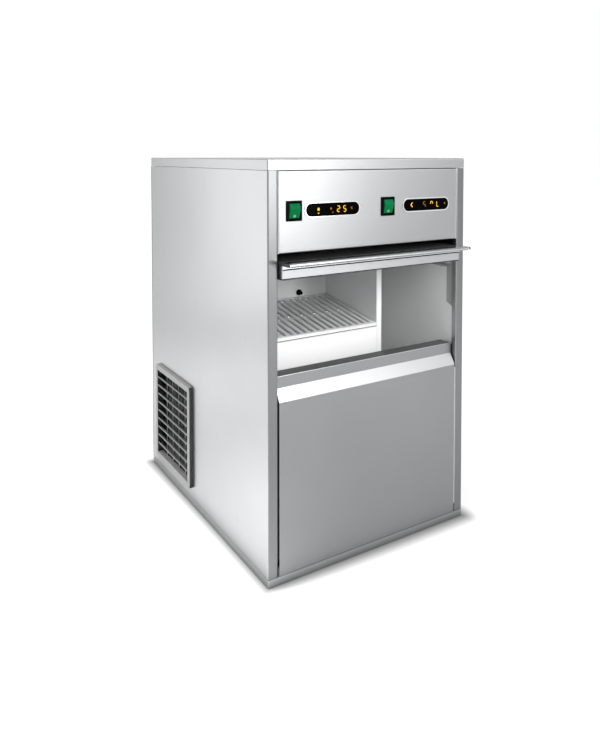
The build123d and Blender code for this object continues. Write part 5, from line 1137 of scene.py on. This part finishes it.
@dataclass
class Studio:
    """Pale floor, soft lamps, plain world and the camera of the photograph.

    Attributes:
        eye: Place of the camera.
        heading: Its turn in degrees, round the upright axis.
        pitch: Degrees that it looks down.
        focal_px: Focal length, in pixels of the photograph.
        axis_px: Row of the photograph that the camera's axis meets.
        middle_px: Its middle row.
        height_px: Its height.
        aspect: Its width over its height.
        sensor: Height of the sensor in millimetres.
        plain_light: World colour for all but the rays that see the background.
        floor_half: Half the width of the floor.
        floor_glow_painted_shadow: Distances from the foot, and the floor's glow at each; the glow drops near
            the foot, which lets the real shadow show and also paints shadow there.
        floor_painted_shadow: Distances from the foot, and the floor's grey at each; darker near the foot, a
            painted contact shadow.
    """

    eye: Point = (-0.6943, -1.1392, 0.6609)
    heading: float = -31.7953
    pitch: float = 2.0
    focal_px: float = 679.6
    axis_px: float = 178.68
    middle_px: float = 375.0
    height_px: float = 750.0
    aspect: float = 0.8
    sensor: float = 36.0
    plain_light: Colour = (0.68, 0.68, 0.682)
    floor_half: float = 9.0
    # Glow and grey of the floor drop near the foot: a painted contact shadow.
    floor_glow_painted_shadow: Levels = ((0.0, 0.1), (0.01, 0.2), (0.03, 0.5), (0.7, 0.75))
    floor_painted_shadow: Levels = ((0.0, 0.1), (0.01, 0.2), (0.03, 0.45))

    def camera(self) -> None:
        """Places the camera where the photograph was taken."""
        data = bpy.data.cameras.new("view")
        data.sensor_fit = "VERTICAL"
        data.sensor_height = self.sensor
        data.sensor_width = self.sensor * self.aspect
        data.lens = self.sensor * self.focal_px / self.height_px
        data.shift_y = (self.axis_px - self.middle_px) / self.height_px
        data.clip_start = 0.01
        made = bpy.data.objects.new("view", data)
        made.location = self.eye
        made.rotation_euler = (math.radians(90.0 - self.pitch), 0.0, math.radians(self.heading))
        bpy.context.scene.collection.objects.link(made)
        bpy.context.scene.camera = made

    def shown(self, tree: bpy.types.NodeTree) -> bpy.types.NodeSocket:
        """Mask of the rays that see the plain background.

        Args:
            tree: Node tree to add to.

        Returns:
            Output socket with 1 for those rays.
        """
        path = tree.nodes.new("ShaderNodeLightPath")
        total, *others = (path.outputs[kind.value] for kind in Seen)
        for output in others:
            most = tree.nodes.new("ShaderNodeMath")
            most.operation = "MAXIMUM"
            tree.links.new(total, most.inputs[0])
            tree.links.new(output, most.inputs[1])
            total = most.outputs[0]
        return total

    def world(self) -> None:
        """White for what the camera, metal and glass see; a plain soft light for the rest."""
        made = bpy.data.worlds.new("studio")
        made.use_nodes = True
        tree = made.node_tree
        background = tree.nodes["Background"]
        mix = tree.nodes.new("ShaderNodeMix")
        mix.data_type = "RGBA"
        mix.inputs["A"].default_value = self.plain_light + (1.0,)
        mix.inputs["B"].default_value = (1.0, 1.0, 1.0, 1.0)
        tree.links.new(self.shown(tree), mix.inputs["Factor"])
        tree.links.new(mix.outputs["Result"], background.inputs["Color"])
        bpy.context.scene.world = made

    def away(self, tree: bpy.types.NodeTree) -> bpy.types.NodeSocket:
        """Distance on the floor from the foot of the machine.

        Args:
            tree: Node tree to add to.

        Returns:
            Output socket with the distance, 0 under the machine.
        """
        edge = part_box("base_pan")[1]
        foot = (edge.x, edge.y, 0.0)
        steps = (("ABSOLUTE", None), ("SUBTRACT", foot), ("MAXIMUM", (0.0, 0.0, 0.0)), ("LENGTH", None))
        source = tree.nodes.new("ShaderNodeTexCoord").outputs["Object"]
        for operation, value in steps:
            step = tree.nodes.new("ShaderNodeVectorMath")
            step.operation = operation
            tree.links.new(source, step.inputs[0])
            if value:
                step.inputs[1].default_value = value
            source = step.outputs["Value" if operation == "LENGTH" else "Vector"]
        return source

    def fading(self, tree: bpy.types.NodeTree, distance: bpy.types.NodeSocket,
               levels: Levels) -> bpy.types.NodeSocket:
        """Level of grey that changes with the distance from the foot.

        Args:
            tree: Node tree to add to.
            distance: Output socket with the distance.
            levels: Distances and the level at each, from the foot outwards.

        Returns:
            Output socket with the level.
        """
        ramp = tree.nodes.new("ShaderNodeValToRGB")
        stops = ramp.color_ramp.elements
        stops.remove(stops[1])
        for place, level in levels:
            stop = stops[0] if place == 0.0 else stops.new(place)
            stop.color = (level, level, level, 1.0)
        tree.links.new(distance, ramp.inputs["Fac"])
        return ramp.outputs["Color"]

    def floor(self) -> bpy.types.Collection:
        """Pale floor that keeps the shadow of the machine, with a painted contact shadow: its grey and its
        glow drop near the foot.

        Returns:
            A collection with the floor alone, for the lamps that light only it.
        """
        shape = bmesh.new()
        bmesh.ops.create_grid(shape, x_segments=2, y_segments=2, size=self.floor_half)
        mesh = bpy.data.meshes.new("floor")
        shape.to_mesh(mesh)
        shape.free()
        material = blank("pale_floor")
        tree = material.node_tree
        shader = principled(material)
        shader.inputs["Roughness"].default_value = 0.9
        shader.inputs["Specular IOR Level"].default_value = 0.0
        lift = tree.nodes.new("ShaderNodeMath")
        lift.operation = "MULTIPLY"
        distance = self.away(tree)
        tree.links.new(self.fading(tree, distance, self.floor_glow_painted_shadow), lift.inputs[0])
        tree.links.new(self.fading(tree, distance, self.floor_painted_shadow), shader.inputs["Base Color"])
        tree.links.new(self.shown(tree), lift.inputs[1])
        tree.links.new(lift.outputs[0], shader.inputs["Emission Strength"])
        shader.inputs["Emission Color"].default_value = (1.0, 1.0, 1.0, 1.0)
        mesh.materials.append(material)
        made = bpy.data.objects.new("floor", mesh)
        bpy.context.scene.collection.objects.link(made)
        alone = bpy.data.collections.new("floor_alone")
        alone.objects.link(made)
        return alone

    def build(self) -> None:
        """Sets up the camera, the floor, the lamps and the world."""
        self.camera()
        ground = self.floor()
        self.world()
        for lamp in LAMPS:
            lamp.hang(ground)
        bpy.context.scene.view_settings.view_transform = "Standard"


def main() -> None:
    """Builds the studio and the machine."""
    logging.basicConfig(level=logging.INFO, format="%(name)s: %(message)s")
    for part in (Studio(), CadNodes(), Displays(), Rockers(), Trim(), Slide(), BackFittings()):
        part.build()
        LOG.info("%s is built", type(part).__name__)


if __name__ == "__main__":
    main()
